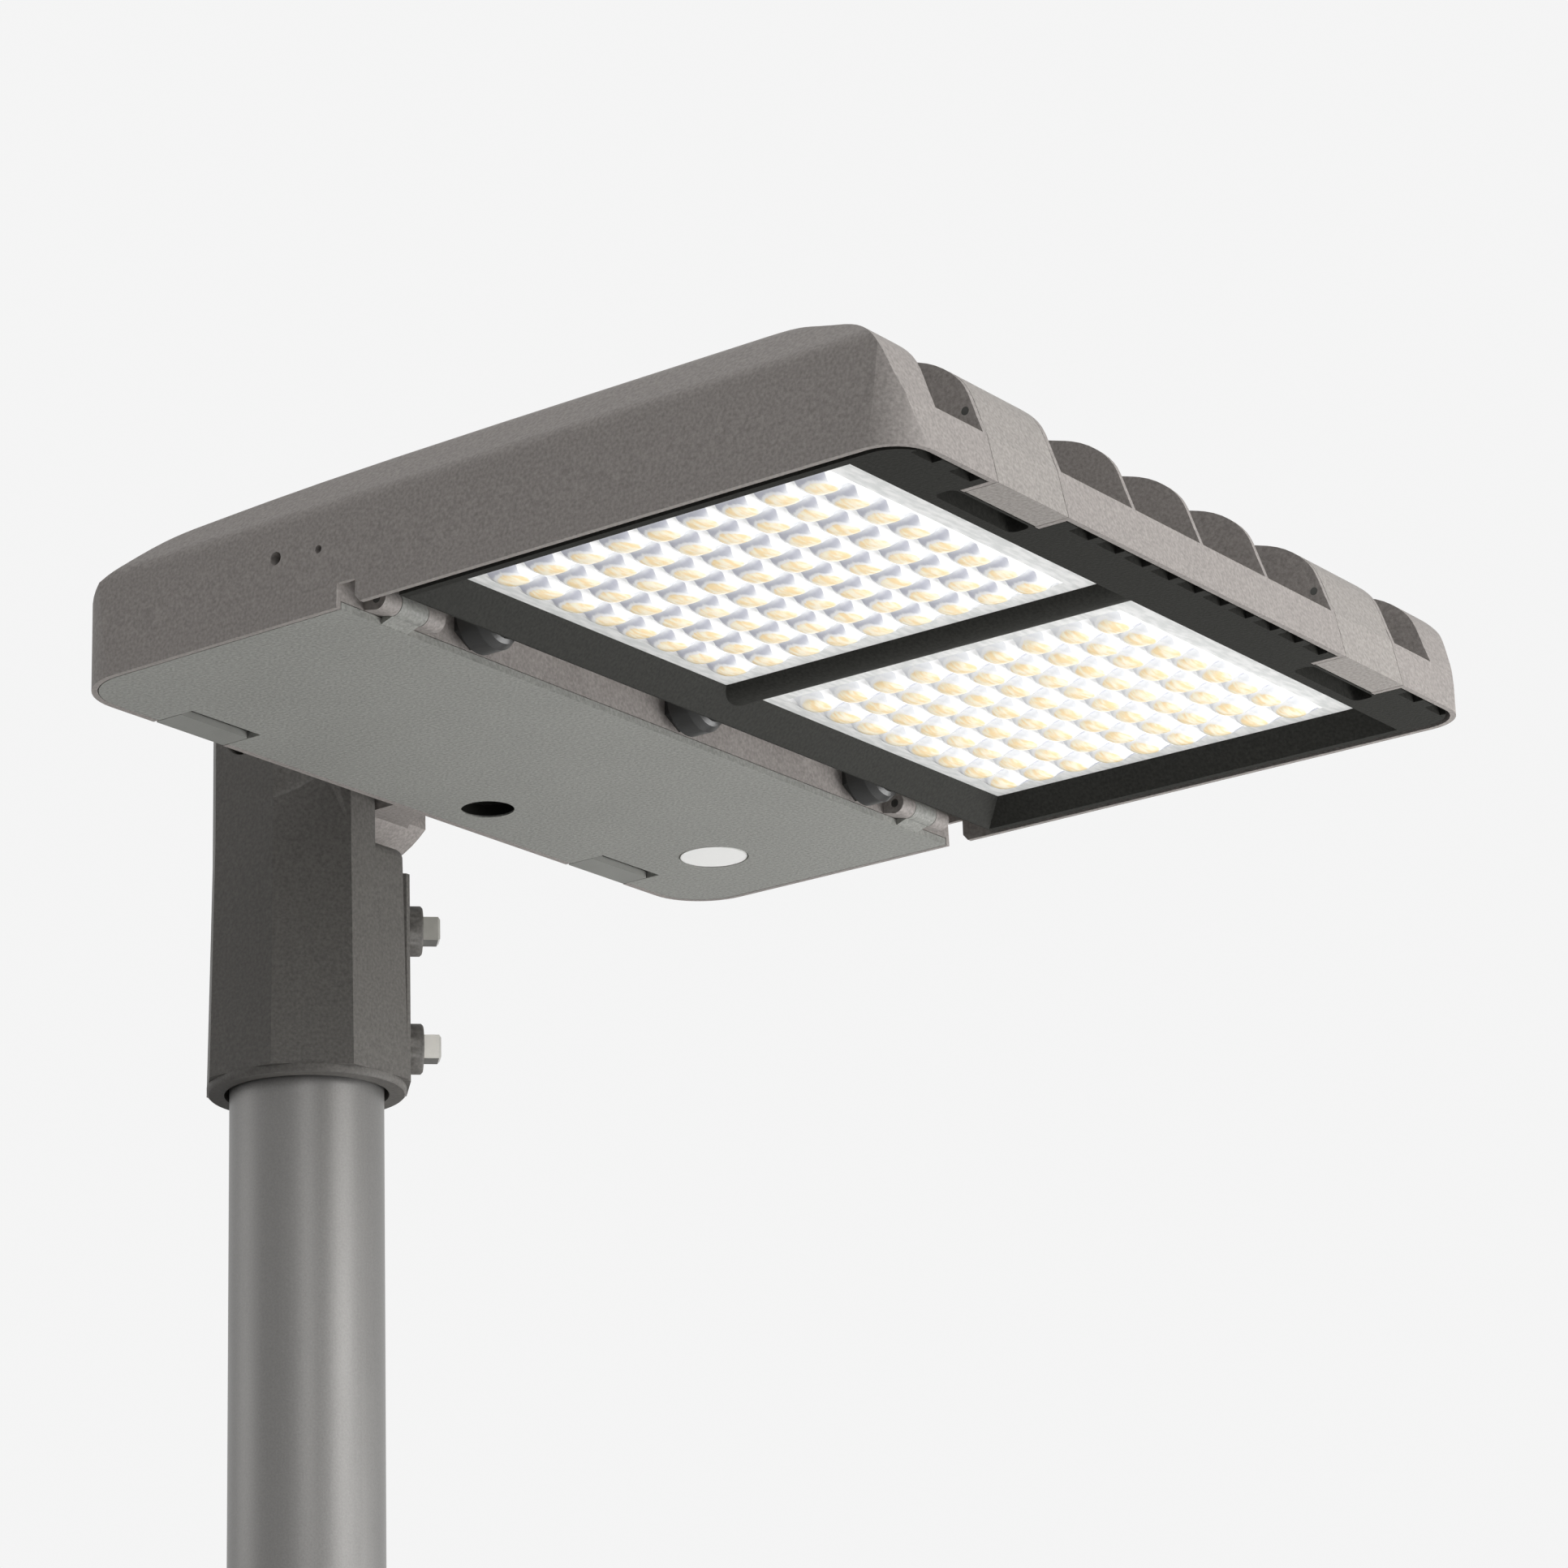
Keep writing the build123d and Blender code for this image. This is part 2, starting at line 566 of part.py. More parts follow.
    # posts for the gear tray
    for x, y in tray_posts():
        post = rod(x, y, TRAY_Z + TRAY_T, 4.0, 20, (0, 0, 1)) & envelope(0.5)
        body = body + post
        body = body - rod(x, y, TRAY_Z, 1.7, 6, (0, 0, 1))
    wall_hole = box(-1, WALL + 4, EAR_IN + ARM_WALL, ARM_ROOT_Y - 3, 14, 30)
    body = body - wall_hole
    body = body + (arm() - (envelope(0.0) & box(WALL, 20, -60, 60, -1, 60)))
    return body


def vent_rows():
    """Centres of the vents in the front strip, across the head."""
    rows = [(i - 4.5) * VENT_PITCH + 1.0 for i in range(10)]
    return rows + [-167.5, -146.0, 147.5, 167.5]


def tray_posts():
    """Places of the four tray posts."""
    return [
        (x, y)
        for x in (TRAY_X0 + 8, TRAY_X1 - 8)
        for y in (-TRAY_Y + 10, TRAY_Y - 10)
    ]


# Door and its small pieces
def hinge_arm(side):
    """Door's hinge leaf: one barrel with a short curved arm."""
    y0, y1 = sorted((side * HINGE_Y[2], side * HINGE_Y[3]))
    leaf = prism_xz([
        (BOX_L - 1.6, 0.3), (BOX_L + 0.4, 0.3), (HINGE_X + 3.2, HINGE_Z - 2.8),
        (HINGE_X - 1.5, HINGE_Z + 1.0), (BOX_L + 0.4, SKIN_Z + 1.2), (BOX_L + 0.4, DOOR_T),
        (BOX_L - 1.6, DOOR_T),
    ], y0, y1)
    leaf = leaf + rod(HINGE_X, y0, HINGE_Z, HINGE_R, y1 - y0, (0, 1, 0))
    hole = HINGE_PIN_D / 2 + FIT_CLEAR
    return leaf - rod(HINGE_X, y0 - 1, HINGE_Z, hole, y1 - y0 + 2, (0, 1, 0))


def door():
    """Flat door of the driver box with its port, disc seat and latch cut-outs."""
    half = HEAD_W / 2 - WALL - DOOR_CLEAR
    gap = WALL + DOOR_CLEAR
    plate = slab_xy(gap, BOX_L + 40, -half, half, REAR_R - gap, 0, DOOR_T)
    plate = plate & box(0, BOX_L, -half, half, 0, DOOR_T)
    for side in (-1, 1):
        y0, y1 = sorted((side * TAB_Y0, side * TAB_Y1))
        plate = plate - box(-1, SLOT_X1, y0, y1, -1, DOOR_T + 1)
    sleeve = rod(PORT_X, PORT_Y, 0, PORT_D / 2 + PORT_WALL, DOOR_T + GASKET_T - 0.4, (0, 0, 1))
    plate = plate + sleeve - rod(PORT_X, PORT_Y, -1, PORT_D / 2, 12, (0, 0, 1))
    plate = plate - rod(DISC_X, DISC_Y, -1, DISC_D / 2 + 0.8, 1 + DISC_T, (0, 0, 1))
    # stiffening ribs inside the gasket
    for y in (-120.0, -60.0, 0.0, 60.0, 120.0):
        plate = plate + box(50, 118, y - 1, y + 1, DOOR_T - 0.5, DOOR_T + 4)
    for x in (50.0, 84.0, 117.0):
        plate = plate + box(x - 1, x + 1, -121, 121, DOOR_T - 0.5, DOOR_T + 4)
    return plate + hinge_arm(-1) + hinge_arm(1)


def door_gasket():
    """Silicone ring between the door and the shelf."""
    z0 = DOOR_T
    z1 = DOOR_T + GASKET_T
    outer = slab_xy(37.4, 128.0, -180.6, 180.6, 10, z0, z1)
    ring = outer - slab_xy(41.4, 124.4, -176.6, 176.6, 6, z0 - 1, z1 + 1)
    return ring


def latch_tab(side):
    """Sliding tab with a nose that reaches through the shelf."""
    y0, y1 = sorted((side * (TAB_Y0 + SLIDE_CLEAR), side * (TAB_Y1 - SLIDE_CLEAR)))
    tab = box(TAB_X0, TAB_X1, y0, y1, 0, DOOR_T)
    tab = chamfer(tab.edges().filter_by(Axis.Z), 0.6)
    y0, y1 = sorted((side * (TAB_Y0 - 3), side * (TAB_Y1 + 3)))
    wings = box(4.5, 11.0, y0, y1, DOOR_T + 0.05, DOOR_T + 1.4)
    neck = box(4.6, 10.9, min(y0, y1) + 4, max(y0, y1) - 4, DOOR_T - 1, DOOR_T + 0.2)
    y0, y1 = sorted((side * (TAB_Y0 + 6.4), side * (TAB_Y1 - 6.4)))
    nose = prism_xz([
        (5.6, DOOR_T), (8.6, DOOR_T), (8.6, 9.4), (5.0, 9.4), (3.5, 8.4), (5.6, 7.4)
    ], y0, y1)
    return tab + neck + wings + nose


def door_disc():
    """Plain round white disc in its seat on the door."""
    return rod(DISC_X, DISC_Y, 0, DISC_D / 2, DISC_T, (0, 0, 1))


def hinge_pins():
    """Two pins of the door's hinge."""
    pins = []
    for side in (-1, 1):
        y0 = min(side * HINGE_Y[0], side * HINGE_Y[5])
        pins.append(rod(HINGE_X, y0, HINGE_Z, HINGE_PIN_D / 2, HINGE_Y[5] - HINGE_Y[0], (0, 1, 0)))
    return Compound(children=pins)


# Glands and leads
def gland(y):
    """Threaded gland with hexagon flange and dome nut."""
    thread = rod(SHELF_X1 + 0.5, y, GLAND_Z, GLAND_THREAD_R, 8, (1, 0, 0))
    plane = Plane(origin=(BOX_L, y, GLAND_Z), z_dir=(1, 0, 0))
    flange = extrude(plane * RegularPolygon(GLAND_R - 2.4, 6, major_radius=True), amount=4)
    r = GLAND_R
    end = BOX_L + GLAND_OUT
    outline = make_face(Polyline([
        (BOX_L + 4, 0, GLAND_Z), (BOX_L + 4, 0, GLAND_Z + r), (end - 4, 0, GLAND_Z + r),
        (end - 1, 0, GLAND_Z + r - 1.6), (end, 0, GLAND_Z + r - 3.2),
        (end, 0, GLAND_Z + r - 5), (end - 6, 0, GLAND_Z + r - 6.5), (end - 6, 0, GLAND_Z),
    ], close=True))
    nut = Pos(0, y, 0) * revolve(outline, Axis((0, 0, GLAND_Z), (1, 0, 0)))
    body = thread + flange + nut
    return body


def cable_glands():
    """Three glands in the driver box's front wall, two of them with a lead through."""
    pieces = []
    for i, y in enumerate(GLAND_Y):
        piece = gland(y)
        if i != 1:
            piece = piece - rod(SHELF_X1 - 1, y, GLAND_Z, LEAD_R + 0.1, 40, (1, 0, 0))
        else:
            piece = piece - rod(BOX_L + 8, y, GLAND_Z, 2.2, 20, (1, 0, 0))
        pieces.append(piece)
    return Compound(children=pieces)


def gland_plug():
    """Blanking plug of the spare middle gland."""
    y = GLAND_Y[1]
    pin = rod(BOX_L + 8, y, GLAND_Z, 2.0, 8, (1, 0, 0))
    plane = Plane(origin=(BOX_L + GLAND_OUT - 6, y, GLAND_Z), z_dir=(1, 0, 0))
    return pin + extrude(plane * RegularPolygon(3.6, 6), amount=3.0)


def led_leads():
    """Short leads from the glands to the edges of the LED boards."""
    leads = []
    for y in (GLAND_Y[0], GLAND_Y[2]):
        leads.append(rod(SHELF_X1 - 6, y, GLAND_Z, LEAD_R, 168 - SHELF_X1 + 5.4, (1, 0, 0)))
    return Compound(children=leads)


# Optics
def lens_centres(side):
    """Centres of the 9 by 8 lenses of one plate."""
    return [
        (GRID_X + (i - (LENS_COLS - 1) / 2) * PITCH_X,
         side * GRID_Y + (j - (LENS_ROWS - 1) / 2) * PITCH_Y)
        for i in range(LENS_COLS)
        for j in range(LENS_ROWS)
    ]


def lens_plate(side):
    """Clear plate with a lens dome over each chip."""
    y0, y1 = sorted((side * (LENS_Y0 - LENS_FLANGE), side * (LENS_Y1 + LENS_FLANGE)))
    plate = slab_xy(
        LENS_X0 - LENS_FLANGE, LENS_X1 + LENS_FLANGE, y0, y1, 5, LENS_Z, LENS_Z + LENS_T
    )
    y0, y1 = sorted((side * (LENS_Y0 + 0.4), side * (LENS_Y1 - 0.4)))
    face = slab_xy(LENS_X0 + 0.4, LENS_X1 - 0.4, y0, y1, 6, LENS_Z - 0.6, LENS_Z)
    dome = extrude(Rectangle(DOME_X, DOME_Y), amount=-DOME_H, taper=28)
    domes = [Pos(x, y, LENS_Z - 0.5) * dome for x, y in lens_centres(side)]
    return (plate + face).fuse(*domes)


def led_chips(side):
    """Square light sources in rows on the underside of one board."""
    top = PLATE_LOW - BOARD_T
    chips = [
        box(x - CHIP_X / 2, x + CHIP_X / 2, y - CHIP_Y / 2, y + CHIP_Y / 2, top - CHIP_T, top)
        for x, y in lens_centres(side)
    ]
    return Compound(children=chips)


def board_outline(side):
    """Limits of one LED board, inside its seal."""
    y0, y1 = sorted((side * (LENS_Y0 + 2.3), side * (LENS_Y1 - 1.9)))
    return LENS_X0 + 1.5, LENS_X1 - 2.3, y0, y1


def board_screw_places(side):
    """Places between the chips for the board's screws."""
    return [
        (GRID_X + i * PITCH_X, side * GRID_Y + j * PITCH_Y)
        for i in (-3.5, 0.5, 3.5)
        for j in (-3, 3)
    ]


def led_board(side):
    """Metal-core board of one optic."""
    x0, x1, y0, y1 = board_outline(side)
    board = slab_xy(x0, x1, y0, y1, 3, PLATE_LOW - BOARD_T, PLATE_LOW)
    for x, y in board_screw_places(side):
        board = board - rod(x, y, 0, 1.6, 30, (0, 0, 1))
    return board


def board_screws():
    """Low-head screws that hold both boards to the plate."""
    screws = []
    for side in (-1, 1):
        for x, y in board_screw_places(side):
            low = PLATE_LOW - BOARD_T
            head = rod(x, y, low - 1.1, 1.75, 1.1, (0, 0, 1))
            screws.append(head + rod(x, y, low - 0.5, SCREW_R, 4.2, (0, 0, 1)))
    return Compound(children=screws)


def lens_gasket(side):
    """Silicone ring between lens plate and heat-sink plate."""
    y0, y1 = sorted((side * (LENS_Y0 - LENS_FLANGE + 0.3), side * (LENS_Y1 + LENS_FLANGE - 0.3)))
    x0 = LENS_X0 - LENS_FLANGE + 0.3
    x1 = LENS_X1 + LENS_FLANGE - 0.3
    z0 = LENS_Z + LENS_T
    ring = slab_xy(x0, x1, y0, y1, 4, z0, PLATE_LOW)
    ring = ring - slab_xy(
        x0 + SEAL_W, x1 - SEAL_W, y0 + SEAL_W, y1 - SEAL_W, 2, z0 - 1, PLATE_LOW + 1
    )
    y = GLAND_Y[0] if side < 0 else GLAND_Y[2]
    return ring - rod(x0 - 1, y, GLAND_Z, LEAD_R, 8, (1, 0, 0))


def taper_opening():
    """The sloped opening of the frame, wide below and narrow at the lens plates."""
    low = Pos((OPEN_X0 + OPEN_X1) / 2, 0, -0.01) * Rectangle(OPEN_X1 - OPEN_X0, 2 * OPEN_Y)
    high = Pos((LENS_X0 + LENS_X1) / 2, 0, LENS_Z) * Rectangle(LENS_X1 - LENS_X0, 2 * LENS_Y1)
    return loft([low, high], ruled=True)


def optic_frame():
    """Dark frame round both lens plates with vents, finger pockets and tongues."""
    frame = slab_xy(GAP_END - 40, FRAME_X1, -FRAME_Y, FRAME_Y, 14, 0, FRAME_TOP)
    frame = frame & box(GAP_END, FRAME_X1, -FRAME_Y, FRAME_Y, 0, FRAME_TOP)
    frame = frame - taper_opening()
    # rounded rib between the two plates
    rib = make_face([
        Spline(
            [(0, -LENS_Y0, LENS_Z), (0, 0, RIB_CREST), (0, LENS_Y0, LENS_Z)],
            tangents=[(0, 1, -1.1), (0, 1, 1.1)],
        ),
        Line((0, LENS_Y0, LENS_Z), (0, -LENS_Y0, LENS_Z)),
    ])
    frame = frame + Pos(OPEN_X0 + 4, 0, 0) * extrude(rib, amount=OPEN_X1 - OPEN_X0 - 8, dir=(1, 0, 0))
    # seat of the lens plates and seals, open above
    edge = LENS_FLANGE + 0.3
    frame = frame - slab_xy(
        LENS_X0 - edge, LENS_X1 + edge, -LENS_Y1 - edge, LENS_Y1 + edge, 5, LENS_Z, FRAME_TOP + 1
    )
    # hollow front strip
    frame = frame - slab_xy(LENS_X1 + 9, VENT_X0 - 2, -FRAME_Y + 4, FRAME_Y - 4, 4, FRAME_SKIN, 20)
    frame = frame - box(VENT_X0, FRAME_X1 + 1, -FRAME_Y - 1, FRAME_Y + 1, FRAME_SKIN, 20)
    for side in (-1, 1):
        # finger pocket with walls, and the cut-out for the latch and its cheeks
        y0, y1 = sorted((side * POCKET_Y0, side * POCKET_Y1))
        frame = frame + slab_xy(POCKET_X0 - 2, POCKET_X1 + 1.4, y0 - 2, y1 + 2, 4, 0.5, 8)
        frame = frame - slab_xy(POCKET_X0, POCKET_X1, y0, y1, 3, -1, 6)
        c0, c1 = sorted((side * (LATCH_Y0 - LATCH_GAP), side * (LATCH_Y1 + LATCH_GAP)))
        frame = frame - box(357, HEAD_L, c0, c1, -1, 20)
        frame = frame + box(355.5, 363.0, c0 + 2, c1 - 2, FRAME_SKIN + 0.3, FRAME_SKIN + 2.5)
        for y in (LATCH_Y0 - LATCH_GAP - FIN_T / 2, LATCH_Y1 + LATCH_GAP + FIN_T / 2):
            frame = frame - box(
                356.6, HEAD_L, side * y - FIN_T / 2 - 0.3, side * y + FIN_T / 2 + 0.3, -1, 20
            )
    for y in vent_rows():
        frame = frame - box(VENT_X0, FRAME_X1 + 1, y - VENT_W / 2, y + VENT_W / 2, -1, 20)
    for y in TONGUE_Y:
        frame = frame + box(FIN_X0 + 2.8, GAP_END + 1, y - 11, y + 11, 11.1, FRAME_TOP)
    for y in (GLAND_Y[0], GLAND_Y[2]):
        frame = frame - rod(FIN_X0, y, GLAND_Z, LEAD_R + 0.3, 16, (1, 0, 0))
    return frame


# Front latches
def inset_line(points, depth):
    """Return points moved by a depth to the inner side of a line in side view."""
    moved = []
    for i, (x, z) in enumerate(points):
        before = points[max(i - 1, 0)]
        after = points[min(i + 1, len(points) - 1)]
        run = (after[0] - before[0], after[1] - before[1])
        length = math.hypot(run[0], run[1])
        moved.append((x + depth * run[1] / length, z - depth * run[0] / length))
    return moved


def front_latch(side):
    """Rocking latch that follows the fins' front line and hooks under the frame."""
    y0, y1 = sorted((side * LATCH_Y0, side * LATCH_Y1))
    line = FIN_POINTS[1:]
    inner = inset_line(line, LATCH_SKIN)
    foot = (HEAD_L, 0.0)
    edges = [
        Spline([(x, y0, z) for x, z in line]),
        Line((line[-1][0], y0, line[-1][1]), (foot[0], y0, foot[1])),
        Polyline(
            [(x, y0, z) for x, z in (
                foot, (LATCH_LIP, 0.0), (LATCH_LIP, LATCH_SKIN), (HEAD_L - 2.7, LATCH_SKIN),
            )] + [(x, y0, z) for x, z in reversed(inner)] + [(line[0][0], y0, line[0][1])]
        ),
    ]
    skin = extrude(make_face(edges), amount=y1 - y0, dir=(0, 1, 0))
    barrel = rod(LATCH_PIN_X, y0, LATCH_PIN_Z, 2.9, y1 - y0, (0, 1, 0))
    skin = skin + barrel
    hole = LATCH_PIN_D / 2 + FIT_CLEAR
    return skin - rod(LATCH_PIN_X, y0 - 1, LATCH_PIN_Z, hole, y1 - y0 + 2, (0, 1, 0))


def latch_pins():
    """Pins of the two front latches, held in their cheeks."""
    pins = []
    reach = LATCH_GAP + FIN_T
    for side in (-1, 1):
        y0, y1 = sorted((side * (LATCH_Y0 - reach), side * (LATCH_Y1 + reach)))
        pins.append(rod(LATCH_PIN_X, y0, LATCH_PIN_Z, LATCH_PIN_D / 2, y1 - y0, (0, 1, 0)))
    return Compound(children=pins)


# Gear
def gear_tray():
    """Folded steel tray that carries the gear."""
    tray = box(TRAY_X0, TRAY_X1, -TRAY_Y, TRAY_Y, TRAY_Z, TRAY_Z + TRAY_T)
    tray = tray + box(TRAY_X0, TRAY_X0 + TRAY_T, -TRAY_Y + 24, TRAY_Y - 24, TRAY_Z - 8, TRAY_Z + 1)
    for x, y in tray_posts():
        tray = tray - rod(x, y, TRAY_Z - 1, 2.2, 5, (0, 0, 1))
    return tray


def tray_screws():
    """Pan-head screws that hold the tray to the housing's posts."""
    screws = []
    for x, y in tray_posts():
        head = rod(x, y, TRAY_Z - 2.4, 4.0, 2.4, (0, 0, 1))
        screws.append(head + rod(x, y, TRAY_Z - 1, 1.6, 6, (0, 0, 1)))
    return Compound(children=screws)


def led_driver():
    """Potted driver in its metal case, with end flanges."""
    x0 = (TRAY_X0 + TRAY_X1 - DRIVER_X) / 2 + 1.0
    y0 = DRIVER_Y - DRIVER_L / 2
    low = TRAY_Z - DRIVER_H
    case = box(x0, x0 + DRIVER_X, y0, y0 + DRIVER_L, low, TRAY_Z)
    case = chamfer(case.edges().filter_by(Axis.Y), 2.0)
    flange = box(x0 + 14, x0 + DRIVER_X - 14, y0 - 9, y0 + DRIVER_L + 9, TRAY_Z - 2.0, TRAY_Z)
    case = case + flange
    for y in (y0 - 5, y0 + DRIVER_L + 5):
        case = case - rod(x0 + DRIVER_X / 2, y, low, 1.8, DRIVER_H + 1, (0, 0, 1))
    for i in range(5):
        x = x0 + 11 + i * 10
        case = case - box(x, x + 4, y0 + 12, y0 + DRIVER_L - 12, low - 1, low + 1.2)
    return case


def driver_screws():
    """Two screws through the driver's end flanges."""
    x = (TRAY_X0 + TRAY_X1) / 2 + 1.0
    screws = []
    for y in (DRIVER_Y - DRIVER_L / 2 - 5, DRIVER_Y + DRIVER_L / 2 + 5):
        head = rod(x, y, TRAY_Z - 4.2, 3.5, 2.2, (0, 0, 1))
        screws.append(head + rod(x, y, TRAY_Z - 3, 1.6, 3.0, (0, 0, 1)))
    return Compound(children=screws)


def surge_protector():
    """Round-edged surge block beside the driver."""
    x = (TRAY_X0 + TRAY_X1) / 2
    block = box(x - 22, x + 22, SURGE_Y - SURGE_L / 2, SURGE_Y + SURGE_L / 2, TRAY_Z - 28, TRAY_Z)
    return fillet(block.edges().filter_by(Axis.Z), 5.0)


def terminal_block():
    """Three-pole terminal block with wire entries and screw wells."""
    x = (TRAY_X0 + TRAY_X1) / 2 - 6
    block = box(x - 11, x + 11, TERM_Y - TERM_L / 2, TERM_Y + TERM_L / 2, TRAY_Z - 20, TRAY_Z)
    for i in (-1, 0, 1):
        y = TERM_Y + i * TERM_L / 3
        block = block - rod(x - 12, y, TRAY_Z - 12, 2.6, 9, (1, 0, 0))
        block = block - rod(x, y, TRAY_Z - 21, 3.0, 7, (0, 0, 1))
    return block


save(place_pole(pole_section()), "pole_section")
save(place_pole(spigot()), "spigot")
save(place_pole(clamp_bolts()), "clamp_bolts")
save(place_pole(tilt_washer()), "tilt_washer")
save(place_pole(pivot_bolt()), "pivot_bolt")
save(place_pole(pivot_washers()), "pivot_washers")
save(place_pole(pivot_nut()), "pivot_nut")
save(place_head(housing()), "housing")
save(place_head(optic_frame()), "optic_frame")
save(place_head(lens_plate(-1)), "lens_plate_near")
save(place_head(lens_plate(1)), "lens_plate_far")
save(place_head(lens_gasket(-1)), "lens_gasket_near")
save(place_head(lens_gasket(1)), "lens_gasket_far")
save(place_head(led_board(-1)), "led_board_near")
save(place_head(led_board(1)), "led_board_far")
save(place_head(led_chips(-1)), "led_chips_near")
save(place_head(led_chips(1)), "led_chips_far")
save(place_head(board_screws()), "board_screws")
save(place_head(cable_glands()), "cable_glands")
save(place_head(gland_plug()), "gland_plug")
save(place_head(led_leads()), "led_leads")
save(place_head(hinge_pins()), "door_hinge_pins")
save(place_head(latch_pins()), "front_latch_pins")
save(place_head(gear_tray()), "gear_tray")
save(place_head(tray_screws()), "tray_screws")
save(place_head(led_driver()), "led_driver")
save(place_head(driver_screws()), "driver_screws")
save(place_head(surge_protector()), "surge_protector")
save(place_head(terminal_block()), "terminal_block")
save(place_head(door()), "door")
save(place_head(door_gasket()), "door_gasket")
save(place_head(door_disc()), "door_disc")
save(place_head(latch_tab(-1)), "latch_tab_near")
save(place_head(latch_tab(1)), "latch_tab_far")
save(place_head(front_latch(-1)), "front_latch_near")
save(place_head(front_latch(1)), "front_latch_far")
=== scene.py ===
"""Looks and studio of the LED street light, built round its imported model."""

import logging
import math
from dataclasses import dataclass
from enum import Enum
from typing import Any, Iterable, Optional, Union

import bmesh
import bpy
from mathutils import Matrix, Vector


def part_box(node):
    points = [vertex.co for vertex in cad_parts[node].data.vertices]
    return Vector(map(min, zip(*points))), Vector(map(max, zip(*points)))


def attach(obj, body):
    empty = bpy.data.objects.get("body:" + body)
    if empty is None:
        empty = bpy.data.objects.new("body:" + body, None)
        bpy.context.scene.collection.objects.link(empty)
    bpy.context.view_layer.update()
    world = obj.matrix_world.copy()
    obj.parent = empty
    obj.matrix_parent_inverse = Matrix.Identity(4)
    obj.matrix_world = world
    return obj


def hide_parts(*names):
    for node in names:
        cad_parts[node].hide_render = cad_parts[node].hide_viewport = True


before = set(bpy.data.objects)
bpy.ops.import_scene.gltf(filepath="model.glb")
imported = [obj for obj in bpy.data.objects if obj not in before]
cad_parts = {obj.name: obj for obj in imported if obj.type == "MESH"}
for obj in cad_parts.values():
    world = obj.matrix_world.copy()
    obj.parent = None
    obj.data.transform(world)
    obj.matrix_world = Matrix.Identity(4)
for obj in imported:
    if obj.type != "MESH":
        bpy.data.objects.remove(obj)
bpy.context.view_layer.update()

LOG = logging.getLogger("street_light")

Colour = tuple[float, float, float]
Place = tuple[float, float, float]

# The head's own frame starts at its rear edge and its underside.
HEAD_X = 0.0495
UNDER_Z = 0.300
# The lens grid, the same on both plates but for the side.
PITCH_X = 0.0164
PITCH_Y = 0.01786
GRID_X = HEAD_X + 0.2471
GRID_Y = 0.08984
COLUMNS = 9
ROWS = 8
# What a finish's material name starts with, so that it differs from the pack's own.
LOOK = "look_"
# Centre and radius of the cable port in the door.
PORT_X = HEAD_X + 0.0235
PORT_Y = 0.024
PORT_R = 0.0106
# The lower face of both lens plates, above the underside.
LENS_RISE = 0.00966
# What the soft boxes are turned to.
HEAD_MIDDLE = (0.2, 0.0, 0.3)


class Side(Enum):
    """The two sides of the head. Near is the side that the camera sees."""

    NEAR = -1
    FAR = 1

    @property
    def word(self) -> str:
        """The side's name in node names."""
        return self.name.lower()


class Signal:
    """A shader socket that takes part in sums."""

    def __init__(self, shader: "Shader", socket: bpy.types.NodeSocket) -> None:
        """Wraps a socket.

        Args:
            shader: The material that the socket belongs to.
            socket: The output socket.
        """
        self.shader = shader
        self.socket = socket

    def __add__(self, other: "Number") -> "Signal":
        """Sum of two values."""
        return self.shader.maths("ADD", self, other)

    def __sub__(self, other: "Number") -> "Signal":
        """This value less another."""
        return self.shader.maths("SUBTRACT", self, other)

    def __mul__(self, other: "Number") -> "Signal":
        """Product of two values."""
        return self.shader.maths("MULTIPLY", self, other)

    def __truediv__(self, other: "Number") -> "Signal":
        """This value over another."""
        return self.shader.maths("DIVIDE", self, other)

    def __radd__(self, other: float) -> "Signal":
        """Sum with a plain number first."""
        return self.shader.maths("ADD", other, self)

    def __rsub__(self, other: float) -> "Signal":
        """A plain number less this value."""
        return self.shader.maths("SUBTRACT", other, self)


Number = Union[Signal, float]


